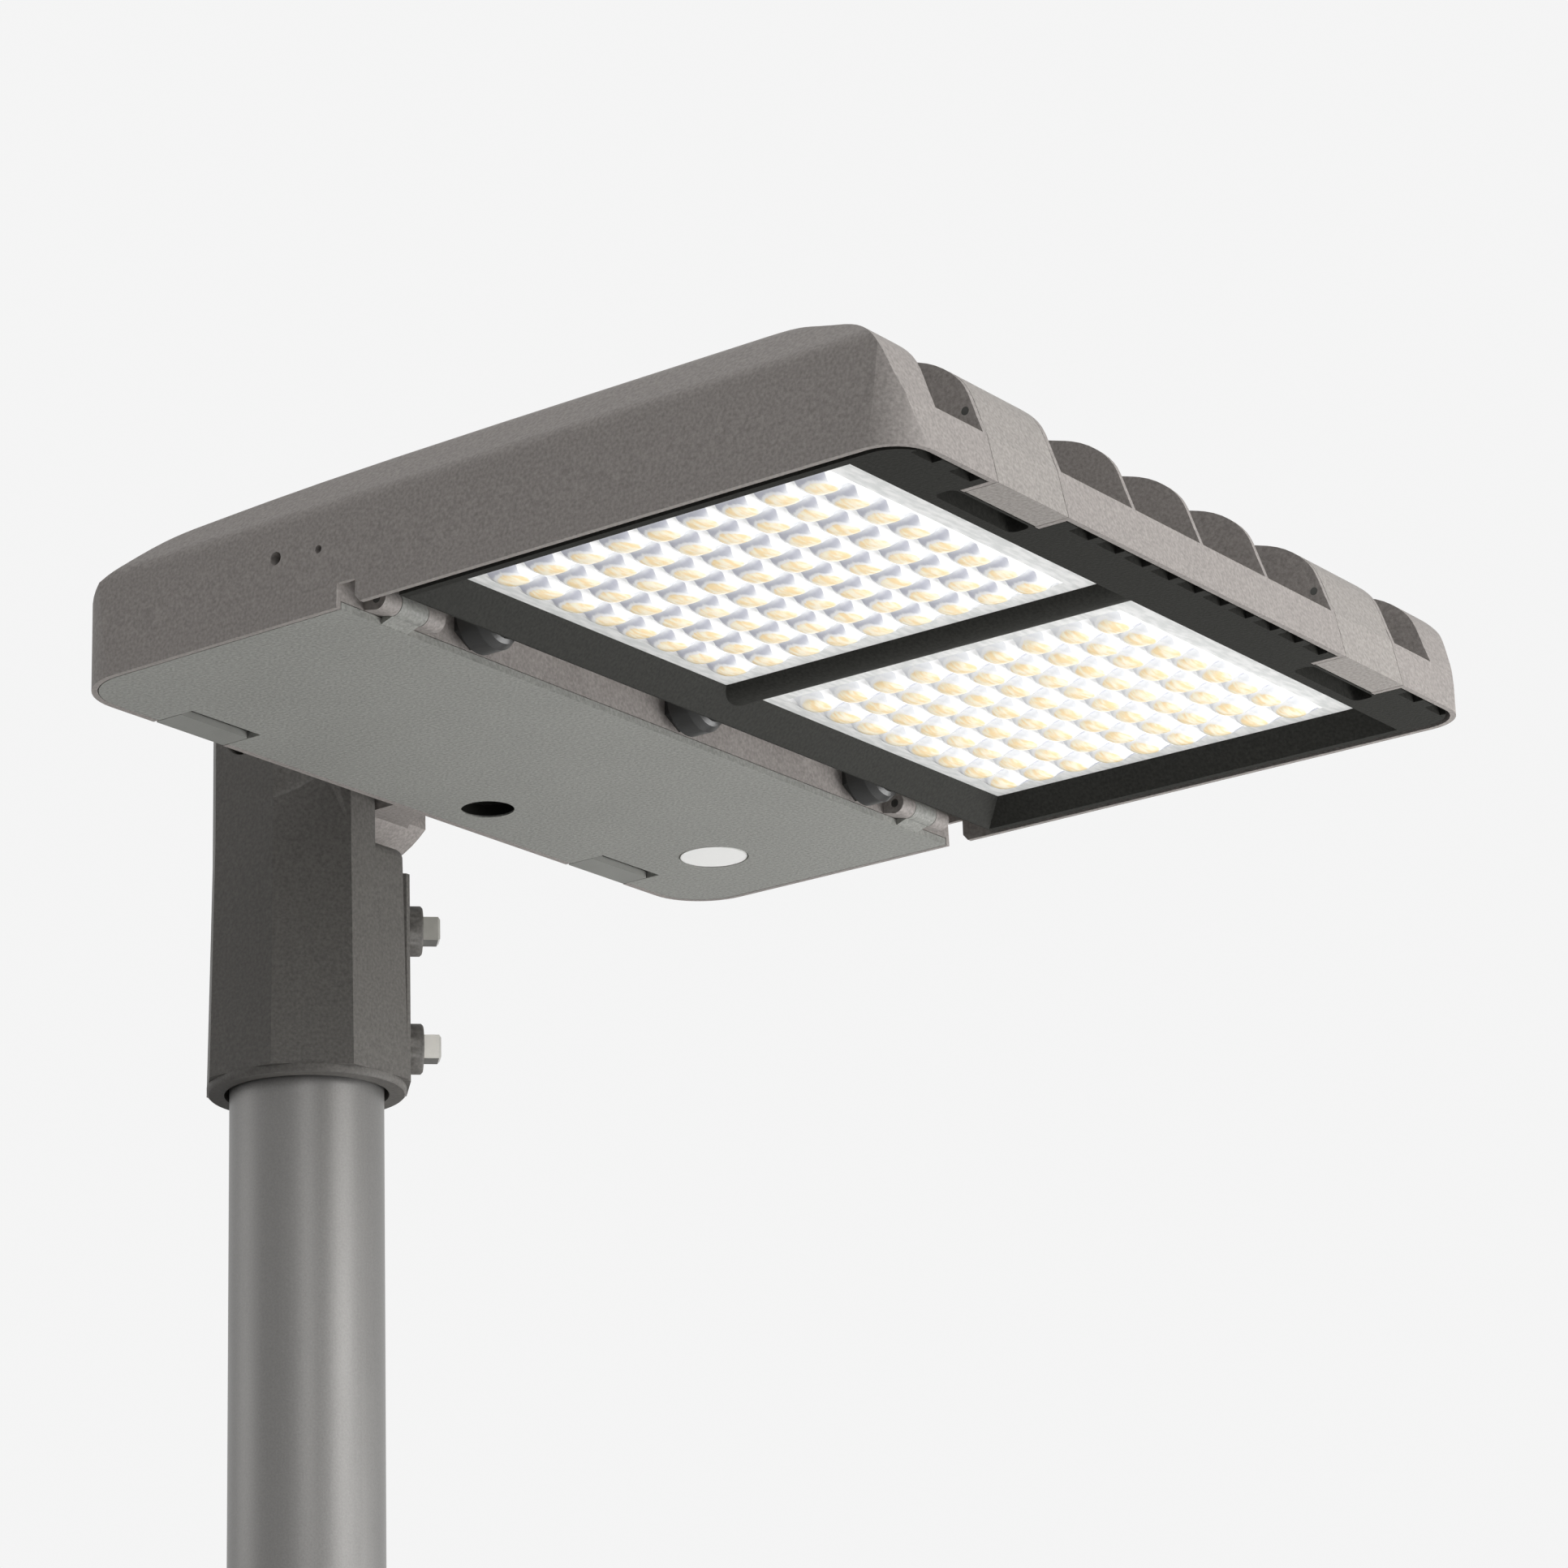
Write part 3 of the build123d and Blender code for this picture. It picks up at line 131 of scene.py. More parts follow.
class Shader:
    """A node material under construction."""

    def __init__(self, name: str) -> None:
        """Starts an empty material.

        Args:
            name: The material's name.
        """
        self.material = bpy.data.materials.new(LOOK + name)
        self.material.use_nodes = True
        self.tree = self.material.node_tree
        self.tree.nodes.clear()

    def node(
        self,
        kind: str,
        settings: Optional[dict[str, Any]] = None,
        sockets: Optional[dict[Any, Any]] = None,
        out: Union[int, str] = 0,
    ) -> Signal:
        """Adds any node.

        Args:
            kind: The node's type name.
            settings: Properties that are set first. "stops" fills a ramp.
            sockets: Values or signals by socket name or number.
            out: The output that the signal stands for.

        Returns:
            The chosen output as a signal.
        """
        made = self.tree.nodes.new(kind)
        for key, value in (settings or {}).items():
            if key == "stops":
                self._fill_ramp(made.color_ramp, value)
            else:
                setattr(made, key, value)
        for key, value in (sockets or {}).items():
            if isinstance(value, Signal):
                self.tree.links.new(value.socket, made.inputs[key])
            else:
                made.inputs[key].default_value = value
        return Signal(self, made.outputs[out])

    @staticmethod
    def _fill_ramp(ramp: bpy.types.ColorRamp, stops: list[tuple[float, Colour]]) -> None:
        """Sets the stops of a colour ramp, from two upwards.

        Args:
            ramp: The ramp of a new node.
            stops: Positions and colours in order.
        """
        while len(ramp.elements) < len(stops):
            ramp.elements.new(1.0)
        for element, (position, colour) in zip(ramp.elements, stops):
            element.position = position
            element.color = (*colour, 1.0)

    def maths(self, operation: str, *values: Number) -> Signal:
        """Adds one Math node for the values given."""
        return self.node("ShaderNodeMath", {"operation": operation}, dict(enumerate(values)))

    def place(self) -> Signal:
        """Object coordinates, in metres in the row's frame."""
        return self.node("ShaderNodeTexCoord", out="Object")

    def axes(self, place: Signal) -> tuple[Signal, Signal, Signal]:
        """Splits a place into its three coordinates.

        Args:
            place: The vector to split.

        Returns:
            Its x, y and z.
        """
        parts = self.node("ShaderNodeSeparateXYZ", sockets={0: place})
        outputs = parts.socket.node.outputs
        return parts, Signal(self, outputs[1]), Signal(self, outputs[2])

    def noise(self, place: Signal, scale: float, detail: float = 2.0) -> Signal:
        """Noise around a half at a scale per metre."""
        return self.node(
            "ShaderNodeTexNoise",
            sockets={"Vector": place, "Scale": scale, "Detail": detail},
        )

    def stretched(self, place: Signal, scale: Place) -> Signal:
        """A place with each axis scaled, for streaks and brushing."""
        return self.node(
            "ShaderNodeMapping", sockets={"Vector": place, "Scale": scale}
        )

    def step(self, value: Signal, low: float, high: float) -> Signal:
        """A smooth rise from 0 at low to 1 at high, or a fall where low is above high."""
        return self.node(
            "ShaderNodeMapRange",
            {"interpolation_type": "SMOOTHSTEP"},
            {"Value": value, "From Min": low, "From Max": high},
        )

    def ramp(self, value: Signal, stops: list[tuple[float, Colour]]) -> Signal:
        """A colour picked by a value."""
        return self.node("ShaderNodeValToRGB", {"stops": stops}, {0: value})

    def mix(self, share: Number, first: Any, second: Any) -> Signal:
        """Mixes two colours.

        Args:
            share: How much of the second shows.
            first: A colour or signal.
            second: A colour or signal.

        Returns:
            The mixed colour.
        """
        values = [(*c, 1.0) if isinstance(c, tuple) else c for c in (first, second)]
        return self.node(
            "ShaderNodeMix", {"data_type": "RGBA"},
            {0: share, 6: values[0], 7: values[1]}, out=2,
        )

    def shaded(self, colour: Colour, shade: Signal) -> Signal:
        """A colour made lighter or darker by a factor."""
        return self.node(
            "ShaderNodeVectorMath", {"operation": "SCALE"}, {0: colour, "Scale": shade}
        )

    def bump(self, height: Signal, depth: float, strength: float = 1.0) -> Signal:
        """A surface normal from a height between 0 and 1.

        Args:
            height: The height signal.
            depth: What 1 stands for, in metres.
            strength: Share of the effect.

        Returns:
            The normal.
        """
        return self.node(
            "ShaderNodeBump", sockets={"Height": height, "Distance": depth, "Strength": strength}
        )

    def surface(self, **sockets: Any) -> Signal:
        """A Principled shader whose socket names are written with underscores."""
        values = {
            key.replace("_", " "): (*v, 1.0) if isinstance(v, tuple) else v
            for key, v in sockets.items()
        }
        return self.node("ShaderNodeBsdfPrincipled", sockets=values)

    def blend(self, share: Number, first: Signal, second: Signal) -> Signal:
        """Mixes two shaders."""
        return self.node("ShaderNodeMixShader", sockets={0: share, 1: first, 2: second})

    def finish(self, shader: Signal) -> bpy.types.Material:
        """Joins a shader to the output and gives the material back."""
        out = self.tree.nodes.new("ShaderNodeOutputMaterial")
        self.tree.links.new(shader.socket, out.inputs["Surface"])
        return self.material


@dataclass(frozen=True)
class PowderCoat:
    """Fine-grained powder coat on die-cast aluminium."""

    name: str
    colour: Colour
    fleck: float = 1.0
    grain: float = 800.0
    depth: float = 0.00022
    roughness: float = 0.55
    gloss: float = 0.35
    # Paints the deep shade inside the cable port near black.
    painted_port_shade: bool = False
    mottle: float = 32.0
    bore_shade_colour: Colour = (0.010, 0.010, 0.009)
    bore_depth: float = 0.012

    def make(self) -> bpy.types.Material:
        """Builds the coat: grain, light and dark flecks, a slow mottling and, where set, painted
        shade in the cable port.
        """
        s = Shader(self.name)
        place = s.place()
        grain = s.noise(place, self.grain, 3.0)
        mottle = s.noise(place, self.mottle, 3.0)
        shade = 1.0 + (grain - 0.5) * self.fleck + (mottle - 0.5) * 0.10
        colour = s.shaded(self.colour, shade)
        rough = self.roughness + (mottle - 0.5) * 0.12 + (grain - 0.5) * 0.15
        coat = s.surface(
            Base_Color=colour, Roughness=rough, Specular_IOR_Level=self.gloss,
            Normal=s.bump(grain, self.depth, 0.6),
        )
        # Painted shade: inside the cable port the coat gives way to near black.
        if self.painted_port_shade:
            bore = s.surface(
                Base_Color=self.bore_shade_colour, Roughness=0.9, Specular_IOR_Level=0.0
            )
            coat = s.blend(self.port(s, place), coat, bore)
        return s.finish(coat)

    def port(self, s: Shader, place: Signal) -> Signal:
        """Masks the cable port's bore, whose deep shade is painted near black.

        Args:
            s: The material.
            place: The place on the piece.

        Returns:
            1 inside the bore and 0 on the coat.
        """
        x, y, z = s.axes(place)
        across, along = x - PORT_X, y - PORT_Y
        away = s.maths("SQRT", across * across + along * along)
        round_bore = s.step(away, PORT_R + 0.0005, PORT_R)
        above_skin = s.step(z, UNDER_Z + 0.0002, UNDER_Z + 0.001)
        below_bay = s.step(
            z, UNDER_Z + self.bore_depth + 0.001, UNDER_Z + self.bore_depth
        )
        return round_bore * above_skin * below_bay


@dataclass(frozen=True)
class SatinTube:
    """Satin metallic paint on the pole, faintly drawn along its length."""

    name: str
    colour: Colour
    metallic: float = 0.7
    roughness: float = 0.42
    flake: float = 1300.0
    draw: Place = (900.0, 900.0, 14.0)
    patch: float = 18.0

    def make(self) -> bpy.types.Material:
        """Builds the paint: metal flake, long draw lines and soft patches."""
        s = Shader(self.name)
        place = s.place()
        flake = s.noise(place, self.flake, 2.0)
        drawn = s.noise(s.stretched(place, self.draw), 1.0, 3.0)
        patch = s.noise(place, self.patch, 3.0)
        shade = 1.0 + (flake - 0.5) * 0.35 + (drawn - 0.5) * 0.10 + (patch - 0.5) * 0.10
        colour = s.shaded(self.colour, shade)
        rough = self.roughness + (patch - 0.5) * 0.12 + (drawn - 0.5) * 0.06
        return s.finish(s.surface(
            Base_Color=colour, Metallic=self.metallic, Roughness=rough,
            Normal=s.bump(flake + drawn * 0.4, 0.00006, 0.5),
        ))


@dataclass(frozen=True)
class Moulding:
    """Moulded plastic or rubber with a fine spark-eroded skin."""

    name: str
    colour: Colour
    roughness: float = 0.5
    grain: float = 1400.0
    depth: float = 0.00008
    variation: float = 0.08
    tone: float = 60.0

    def make(self) -> bpy.types.Material:
        """Builds the skin: fine grain, a slow tone and duller patches."""
        s = Shader(self.name)
        place = s.place()
        grain = s.noise(place, self.grain, 2.0)
        tone = s.noise(place, self.tone, 3.0)
        shade = 1.0 + (tone - 0.5) * self.variation * 4.0 + (grain - 0.5) * self.variation
        colour = s.shaded(self.colour, shade)
        return s.finish(s.surface(
            Base_Color=colour, Roughness=self.roughness + (tone - 0.5) * 0.2,
            Normal=s.bump(grain, self.depth, 0.5),
        ))


@dataclass(frozen=True)
class PlatedSteel:
    """Zinc-plated or stainless fasteners and bare sheet."""

    name: str
    colour: Colour
    roughness: float = 0.32
    stretch: Place = (300.0, 300.0, 300.0)
    cloud: float = 140.0

    def make(self) -> bpy.types.Material:
        """Builds the metal: clouded plating, rolled lines and light scuffs."""
        s = Shader(self.name)
        place = s.place()
        cloud = s.noise(place, self.cloud, 4.0)
        rolled = s.noise(s.stretched(place, self.stretch), 1.0, 2.0)
        shade = 1.0 + (cloud - 0.5) * 0.35 + (rolled - 0.5) * 0.15
        colour = s.shaded(self.colour, shade)
        return s.finish(s.surface(
            Base_Color=colour, Metallic=1.0, Roughness=self.roughness + (cloud - 0.5) * 0.25,
            Normal=s.bump(rolled, 0.00004, 0.5),
        ))


class LensCell:
    """Where a place lies in its cell of the lens grid, from -0.5 to 0.5 each way."""

    def __init__(self, shader: Shader) -> None:
        """Builds the cell coordinates.

        Args:
            shader: The material that reads them.
        """
        self.place = shader.place()
        x, y, self.z = shader.axes(self.place)
        across = shader.maths("ABSOLUTE", y)
        self.column = (x - GRID_X) / PITCH_X + 0.5 + COLUMNS
        self.row = (across - GRID_Y) / PITCH_Y + ROWS
        self.u = shader.maths("FRACT", self.column) - 0.5
        self.v = shader.maths("FRACT", self.row) - 0.5

    def inside(self, shader: Shader) -> Signal:
        """1 on the lens field and 0 on the plate's border."""
        x_share = shader.maths("COMPARE", self.column, COLUMNS + 0.5, COLUMNS / 2)
        y_share = shader.maths("COMPARE", self.row, float(ROWS), ROWS / 2)
        return x_share * y_share


@dataclass(frozen=True)
class LensOptic:
    """Clear lens plate whose domes are filled by the light sources that they magnify."""

    name: str
    # Width of the white webs between lens rows; they are partly real web and partly a painted
    # reflection of the lamps on the dome slopes.
    web_and_painted_reflection: float = 0.115
    wave: float = 0.05
    # Strength of a painted glow; the lens gives no light of its own.
    glow: float = 0.22
    dome_u: float = 0.31
    dome_v: float = 0.37
    amber: Colour = (0.93, 0.73, 0.42)
    cream: Colour = (0.98, 0.90, 0.71)
    clear: Colour = (0.80, 0.81, 0.82)
    # Colour of the painted shade on the far side of each dome.
    shadow: Colour = (0.52, 0.53, 0.60)
    rim: Colour = (0.94, 0.94, 0.92)
    milk_dark: Colour = (0.66, 0.67, 0.66)
    milk_light: Colour = (0.80, 0.80, 0.79)

    def make(self) -> bpy.types.Material:
        """Builds the warm domes, the wavy white webs, which also carry a painted reflection of
        the lamps, and the milky border.
        """
        s = Shader(self.name)
        cell = LensCell(s)
        wander = s.noise(cell.place, 90.0, 2.0)
        wave = s.maths("COSINE", cell.v * (2 * math.pi)) * self.wave
        edge = 0.5 - s.maths("ABSOLUTE", cell.u + wave + (wander - 0.5) * 0.10)
        inside = cell.inside(s)
        # White band between rows: the plate's white web plus a painted reflection of the lamps in
        # the dome slopes.
        web_and_painted_reflection = s.step(edge, self.web_and_painted_reflection + 0.03, self.web_and_painted_reflection)
        swirl = s.noise(s.stretched(cell.place, (520.0, 130.0, 130.0)), 1.0, 3.0)
        across = (cell.u + (wander - 0.5) * 0.16) / self.dome_u
        along = (cell.v + 0.05 + (swirl - 0.5) * 0.10) / self.dome_v
        reach = s.maths("SQRT", across * across + along * along)
        dome = s.step(reach, 1.06, 0.90)
        rim = s.step(reach, 0.92, 1.02) * s.step(reach, 1.26, 1.10)
        warm = s.mix(s.step(swirl, 0.36, 0.62), self.amber, self.cream)
        # Painted shade: a grey-lavender band on the far side of each dome, mixed with swirls.
        shade = s.step(cell.v, 0.20, 0.34) * s.step(cell.v, 0.50, 0.40)
        glass = s.mix(shade * 0.8 + swirl * 0.3, self.clear, self.shadow)
        glass = s.mix(rim * 0.75, glass, self.rim)
        colour = s.mix(dome, glass, warm)
        colour = s.mix(web_and_painted_reflection, colour, (1.0, 1.0, 1.0))
        border = s.mix(s.step(swirl, 0.35, 0.65), self.milk_dark, self.milk_light)
        colour = s.mix(inside, border, colour)
        # The emission is a painted glow that brightens the lens.
        return s.finish(s.surface(
            Base_Color=colour, Roughness=0.16 + wander * 0.12, Emission_Color=colour,
            Emission_Strength=self.glow, Coat_Weight=0.4,
            Normal=s.bump(swirl, 0.00025, 0.4),
        ))


@dataclass(frozen=True)
class LightSource:
    """Phosphor squares in white packages."""

    name: str
    phosphor: Colour
    package: Colour = (0.93, 0.93, 0.90)
    pale: Colour = (0.98, 0.90, 0.70)
    half_u: float = 0.36
    half_v: float = 0.34

    def make(self) -> bpy.types.Material:
        """Builds the yellow dome of each source, brighter streaks and its white edge."""
        s = Shader(self.name)
        cell = LensCell(s)
        across, along = cell.u / self.half_u, cell.v / self.half_v
        reach = s.maths("SQRT", across * across + along * along)
        spot = s.step(reach, 1.08, 0.96)
        streak = s.noise(s.stretched(cell.place, (120.0, 900.0, 120.0)), 1.0, 3.0)
        tone = s.mix(s.step(streak, 0.35, 0.65), self.phosphor, self.pale)
        colour = s.mix(spot, self.package, tone)
        # The sources are off: the emission is a painted glow that brightens them.
        return s.finish(s.surface(
            Base_Color=colour, Roughness=0.45 + (streak - 0.5) * 0.2,
            Emission_Color=colour, Emission_Strength=0.35,
            Normal=s.bump(streak, 0.0001, 0.3),
        ))


@dataclass(frozen=True)
class BoardMask:
    """White solder mask over copper tracks."""

    name: str
    bare: Colour = (0.90, 0.90, 0.88)
    track: Colour = (0.80, 0.81, 0.80)

    def make(self) -> bpy.types.Material:
        """Builds the mask with the copper's faint relief under it."""
        s = Shader(self.name)
        cell = LensCell(s)
        track = s.step(s.maths("ABSOLUTE", cell.v), 0.10, 0.13)
        tone = s.noise(cell.place, 80.0, 2.0)
        colour = s.mix(track * 0.5 + tone * 0.2, self.bare, self.track)
        return s.finish(s.surface(
            Base_Color=colour, Roughness=0.38 + (tone - 0.5) * 0.1,
            Normal=s.bump(track, 0.00005, 0.5),
        ))


@dataclass(frozen=True)
class FoilDisc:
    """Plain white disc with a soft sheen."""

    name: str
    centre: Place
    radius: float
    film: Colour = (0.93, 0.93, 0.91)
    worn: Colour = (0.62, 0.62, 0.60)

    def make(self) -> bpy.types.Material:
        """Builds the film with a slightly worn edge."""
        s = Shader(self.name)
        place = s.place()
        away = s.node(
            "ShaderNodeVectorMath", {"operation": "DISTANCE"}, {0: place, 1: self.centre}, "Value"
        )
        fibre = s.noise(place, 420.0, 3.0)
        worn = s.step(away / self.radius + (fibre - 0.5) * 0.12, 0.93, 1.0)
        colour = s.mix(worn * 0.5 + (fibre - 0.5) * 0.1, self.film, self.worn)
        return s.finish(s.surface(
            Base_Color=colour, Roughness=0.35 + fibre * 0.15, Normal=s.bump(fibre, 0.00004, 0.4),
        ))


class Finishes(Enum):
    """Every finish of the light."""

    POLE = SatinTube("pole_satin", (0.19, 0.186, 0.180))
    # The arm coat is a darker copy of the housing coat; the darkness is painted shade for the
    # spigot under the head.
    ARM = PowderCoat("arm_coat", (0.120, 0.114, 0.106), gloss=0.22)
    HOUSING = PowderCoat("housing_coat", (0.300, 0.277, 0.262), gloss=0.2, painted_port_shade=True)
    LATCH = PowderCoat("latch_coat", (0.315, 0.294, 0.276), gloss=0.2)
    FRAME = PowderCoat("frame_coat", (0.034, 0.034, 0.031), gloss=0.05)
    # The door's grey-green tint is painted: it copies the colour cast of the shaded underside.
    DOOR = PowderCoat("door_coat", (0.285, 0.287, 0.268), gloss=0.25, painted_port_shade=True)
    # The tabs copy the door's painted tint and are darker still, as painted shade.
    TAB = Moulding("tab_plastic", (0.245, 0.247, 0.230), grain=900.0)
    GLAND = Moulding("gland_nylon", (0.035, 0.035, 0.034), roughness=0.32)
    SEAL = Moulding("seal_rubber", (0.030, 0.030, 0.030), roughness=0.75)
    DRIVER = Moulding("driver_case", (0.62, 0.62, 0.60), roughness=0.42)
    SURGE = Moulding("surge_case", (0.50, 0.10, 0.05), roughness=0.4)
    TERMINAL = Moulding("terminal_case", (0.72, 0.70, 0.62), roughness=0.45)
    BOLT = PlatedSteel("bolt_steel", (0.50, 0.49, 0.46))
    PIN = PlatedSteel("pin_steel", (0.10, 0.10, 0.095), 0.5)
    TRAY = PlatedSteel("tray_steel", (0.62, 0.62, 0.60), 0.36, (30.0, 900.0, 900.0))
    LENS = LensOptic("lens_acrylic")
    CHIP = LightSource("chip_phosphor", (0.95, 0.76, 0.42))
    BOARD = BoardMask("board_mask")
    DISC = FoilDisc("disc_film", (HEAD_X + 0.051, 0.134, UNDER_Z), 0.0135)

    def material(self) -> bpy.types.Material:
        """The finish's material, made once under a name of its own."""
        found = bpy.data.materials.get(LOOK + self.value.name)
        return found or self.value.make()


def dress(finish: Finishes, *nodes: str) -> None:
    """Gives carried-over nodes their finish.

    Args:
        finish: The finish to use.
        nodes: Names of the nodes.
    """
    for name in nodes:
        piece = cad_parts[name]
        for slot in piece.material_slots:
            slot.material = finish.material()
        LOG.info("dressed %s with %s", name, finish.name.lower())


def settle(
    name: str, mesh: bmesh.types.BMesh, finish: Finishes, body: str,
    replaced: Iterable[str] = (),
) -> bpy.types.Object:
    """Makes a finished bmesh a piece of the light.

    Args:
        name: The piece's name.
        mesh: Its shape, which is freed.
        finish: Its finish.
        body: The body that it rides on.
        replaced: Nodes that it stands for.

    Returns:
        The new object.
    """
    bmesh.ops.recalc_face_normals(mesh, faces=mesh.faces)
    data = bpy.data.meshes.new(name)
    mesh.to_mesh(data)
    mesh.free()
    data.materials.append(finish.material())
    piece = bpy.data.objects.new(name, data)
    bpy.context.scene.collection.objects.link(piece)
    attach(piece, body)
    for node in replaced:
        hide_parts(node)
    LOG.info("built %s: %d faces", name, len(data.polygons))
    return piece


@dataclass
class LensPlate:
    """One clear plate with a dome over each light source."""

    side: Side
    margin_x: float = 0.0087
    margin_y: float = 0.0086
    corner: float = 0.005
    cuts: int = 9
    dome: float = 0.0034
    thickness: float = 0.0024
    clearance: float = 0.0002
    lip: float = 0.0004
    reach: float = 0.47
    squareness: float = 2.6
    fullness: float = 0.55

    def swell(self, x: float, y: float) -> float:
        """How far the plate's face stands out at a place.

        Args:
            x: Distance from the grid's middle along the head.
            y: Distance from the grid's middle across it.

        Returns:
            The rise of the dome there, from 0 to 1.
        """
        u = (x / PITCH_X + 0.5) % 1.0 - 0.5
        v = (y / PITCH_Y) % 1.0 - 0.5
        away = (abs(u) / self.reach) ** self.squareness + (abs(v) / self.reach) ** self.squareness
        return max(0.0, 1.0 - away) ** self.fullness

    def rounded(self, x: float, y: float, half_x: float, half_y: float) -> tuple[float, float]:
        """Pulls a place on a rectangle's edge onto its rounded corner.

        Args:
            x: Distance from the middle along the head.
            y: Distance from the middle across it.
            half_x: Half length of the rectangle.
            half_y: Half width of the rectangle.

        Returns:
            The place on the rounded outline.
        """
        near_x, near_y = abs(x) - (half_x - self.corner), abs(y) - (half_y - self.corner)
        if near_x <= 0 or near_y <= 0:
            return x, y
        share = self.corner / math.hypot(near_x, near_y)
        return (
            math.copysign(half_x - self.corner + near_x * share, x),
            math.copysign(half_y - self.corner + near_y * share, y),
        )

    def build(self) -> bpy.types.Object:
        """Shapes the domes, the border and the flat back, and places the plate."""
        low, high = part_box("lens_plate_" + self.side.word)
        middle = Vector((GRID_X, self.side.value * GRID_Y, 0.0))
        half_x, half_y = PITCH_X * COLUMNS / 2, PITCH_Y * ROWS / 2
        face_z = UNDER_Z + LENS_RISE
        mesh = bmesh.new()
        bmesh.ops.create_grid(
            mesh, x_segments=COLUMNS * self.cuts, y_segments=ROWS * self.cuts, size=1.0
        )
        for vert in mesh.verts:
            x, y = vert.co.x * half_x, vert.co.y * half_y
            vert.co = (x, y, face_z - self.dome * self.swell(x, y))
        flange_x = (high.x - low.x) / 2 - self.clearance
        flange_y = (high.y - low.y) / 2 - self.clearance
        shift = Vector(((low.x + high.x) / 2, (low.y + high.y) / 2, 0.0)) - middle
        rim = [edge for edge in mesh.edges if edge.is_boundary]
        rings = [
            (half_x + self.clearance, half_y + self.clearance, face_z),
            (half_x + self.margin_x, half_y + self.margin_y, face_z),
            (flange_x, flange_y, face_z + self.lip),
            (flange_x, flange_y, face_z + self.thickness),
        ]
        for number, (ring_x, ring_y, ring_z) in enumerate(rings):
            grown = bmesh.ops.extrude_edge_only(mesh, edges=rim)["geom"]
            verts = [part for part in grown if isinstance(part, bmesh.types.BMVert)]
            rim = [part for part in grown if isinstance(part, bmesh.types.BMEdge)]
            for vert in verts:
                x, y = self._spread(vert.co, ring_x, ring_y)
                if number:
                    x, y = self.rounded(x, y, ring_x, ring_y)
                    if number == 2:
                        x, y = x + shift.x, y + shift.y
                vert.co = (x, y, ring_z)
        back = bmesh.ops.contextual_create(mesh, geom=rim)["faces"]
        bmesh.ops.translate(mesh, verts=mesh.verts, vec=middle)
        for face in mesh.faces:
            face.smooth = True
        for face in back:
            face.smooth = False
        node = "lens_plate_" + self.side.word
        return settle(
            "domed_" + node, mesh, Finishes.LENS, "head", [node]
        )

    @staticmethod
    def _spread(place: Vector, half_x: float, half_y: float) -> tuple[float, float]:
        """Moves a rim place out to a wider rectangle.

        Args:
            place: The place on the present rim.
            half_x: Half length of the wider rectangle.
            half_y: Half width of the wider rectangle.

        Returns:
            The new place.
        """
        scale = max(abs(place.x) / half_x, abs(place.y) / half_y)
        return place.x / scale, place.y / scale


@dataclass
class Optics:
    """Lens plates, light sources, boards, seals and the dark frame round them."""

    def build(self) -> None:
        """Dresses the frame and what lies behind the plates, and builds the plates."""
        for side in Side:
            word = side.word
            dress(Finishes.BOARD, "led_board_" + word)
            dress(Finishes.CHIP, "led_chips_" + word)
            dress(Finishes.SEAL, "lens_gasket_" + word)
            LensPlate(side).build()
        dress(Finishes.FRAME, "optic_frame")
        dress(Finishes.BOLT, "board_screws")


@dataclass
class Pole:
    """Pole section, spigot and the knuckle's fasteners."""

    flats: float = 0.0730
    shoulder_z: float = UNDER_Z - 0.010
    trimmed: tuple[float, float] = (-45.0, -135.0)
    play: float = 1e-5

    def straight_spigot(self) -> bpy.types.Object:
        """Trims the spigot's ear to the eight sides that rise from the pole."""
        mesh = bmesh.new()
        mesh.from_mesh(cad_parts["spigot"].data)
        bmesh.ops.remove_doubles(mesh, verts=mesh.verts, dist=1e-6)
        low_z = self.shoulder_z - self.play
        for turn in map(math.radians, self.trimmed):
            outward = Vector((math.cos(turn), math.sin(turn), 0.0))
            upper = [face for face in mesh.faces if all(v.co.z > low_z for v in face.verts)]
            parts = set(upper)
            for face in upper:
                parts.update(face.edges)
                parts.update(face.verts)
            cut = bmesh.ops.bisect_plane(
                mesh, geom=list(parts), dist=1e-7, plane_no=outward,
                plane_co=outward * (self.flats / 2 + self.play), clear_outer=True,
            )["geom_cut"]
            edges = [part for part in cut if isinstance(part, bmesh.types.BMEdge)]
            bmesh.ops.contextual_create(mesh, geom=edges)
        bmesh.ops.triangulate(mesh, faces=mesh.faces)
        return settle("trimmed_spigot", mesh, Finishes.ARM, "spigot_body", ["spigot"])

    def build(self) -> None:
        """Dresses the tube, the spigot and its bolts."""
        dress(Finishes.POLE, "pole_section")
        self.straight_spigot()
        dress(Finishes.ARM, "tilt_washer")
        dress(Finishes.BOLT, "clamp_bolts", "pivot_bolt", "pivot_washers", "pivot_nut")


@dataclass
class Head:
    """Housing, front latches and the glands in the driver box's front wall."""

    def build(self) -> None:
        """Dresses the castings and what goes through them."""
        dress(Finishes.HOUSING, "housing")
        dress(Finishes.LATCH, "front_latch_near", "front_latch_far")
        dress(Finishes.GLAND, "cable_glands", "gland_plug")
        dress(Finishes.SEAL, "led_leads")
        dress(Finishes.PIN, "door_hinge_pins", "front_latch_pins")


@dataclass
class Door:
    """Door of the driver box with its seal, disc and sliding tabs."""

    def build(self) -> None:
        """Dresses the door and what it carries."""
        dress(Finishes.DOOR, "door")
        dress(Finishes.SEAL, "door_gasket")
        dress(Finishes.DISC, "door_disc")
        dress(Finishes.TAB, "latch_tab_near", "latch_tab_far")


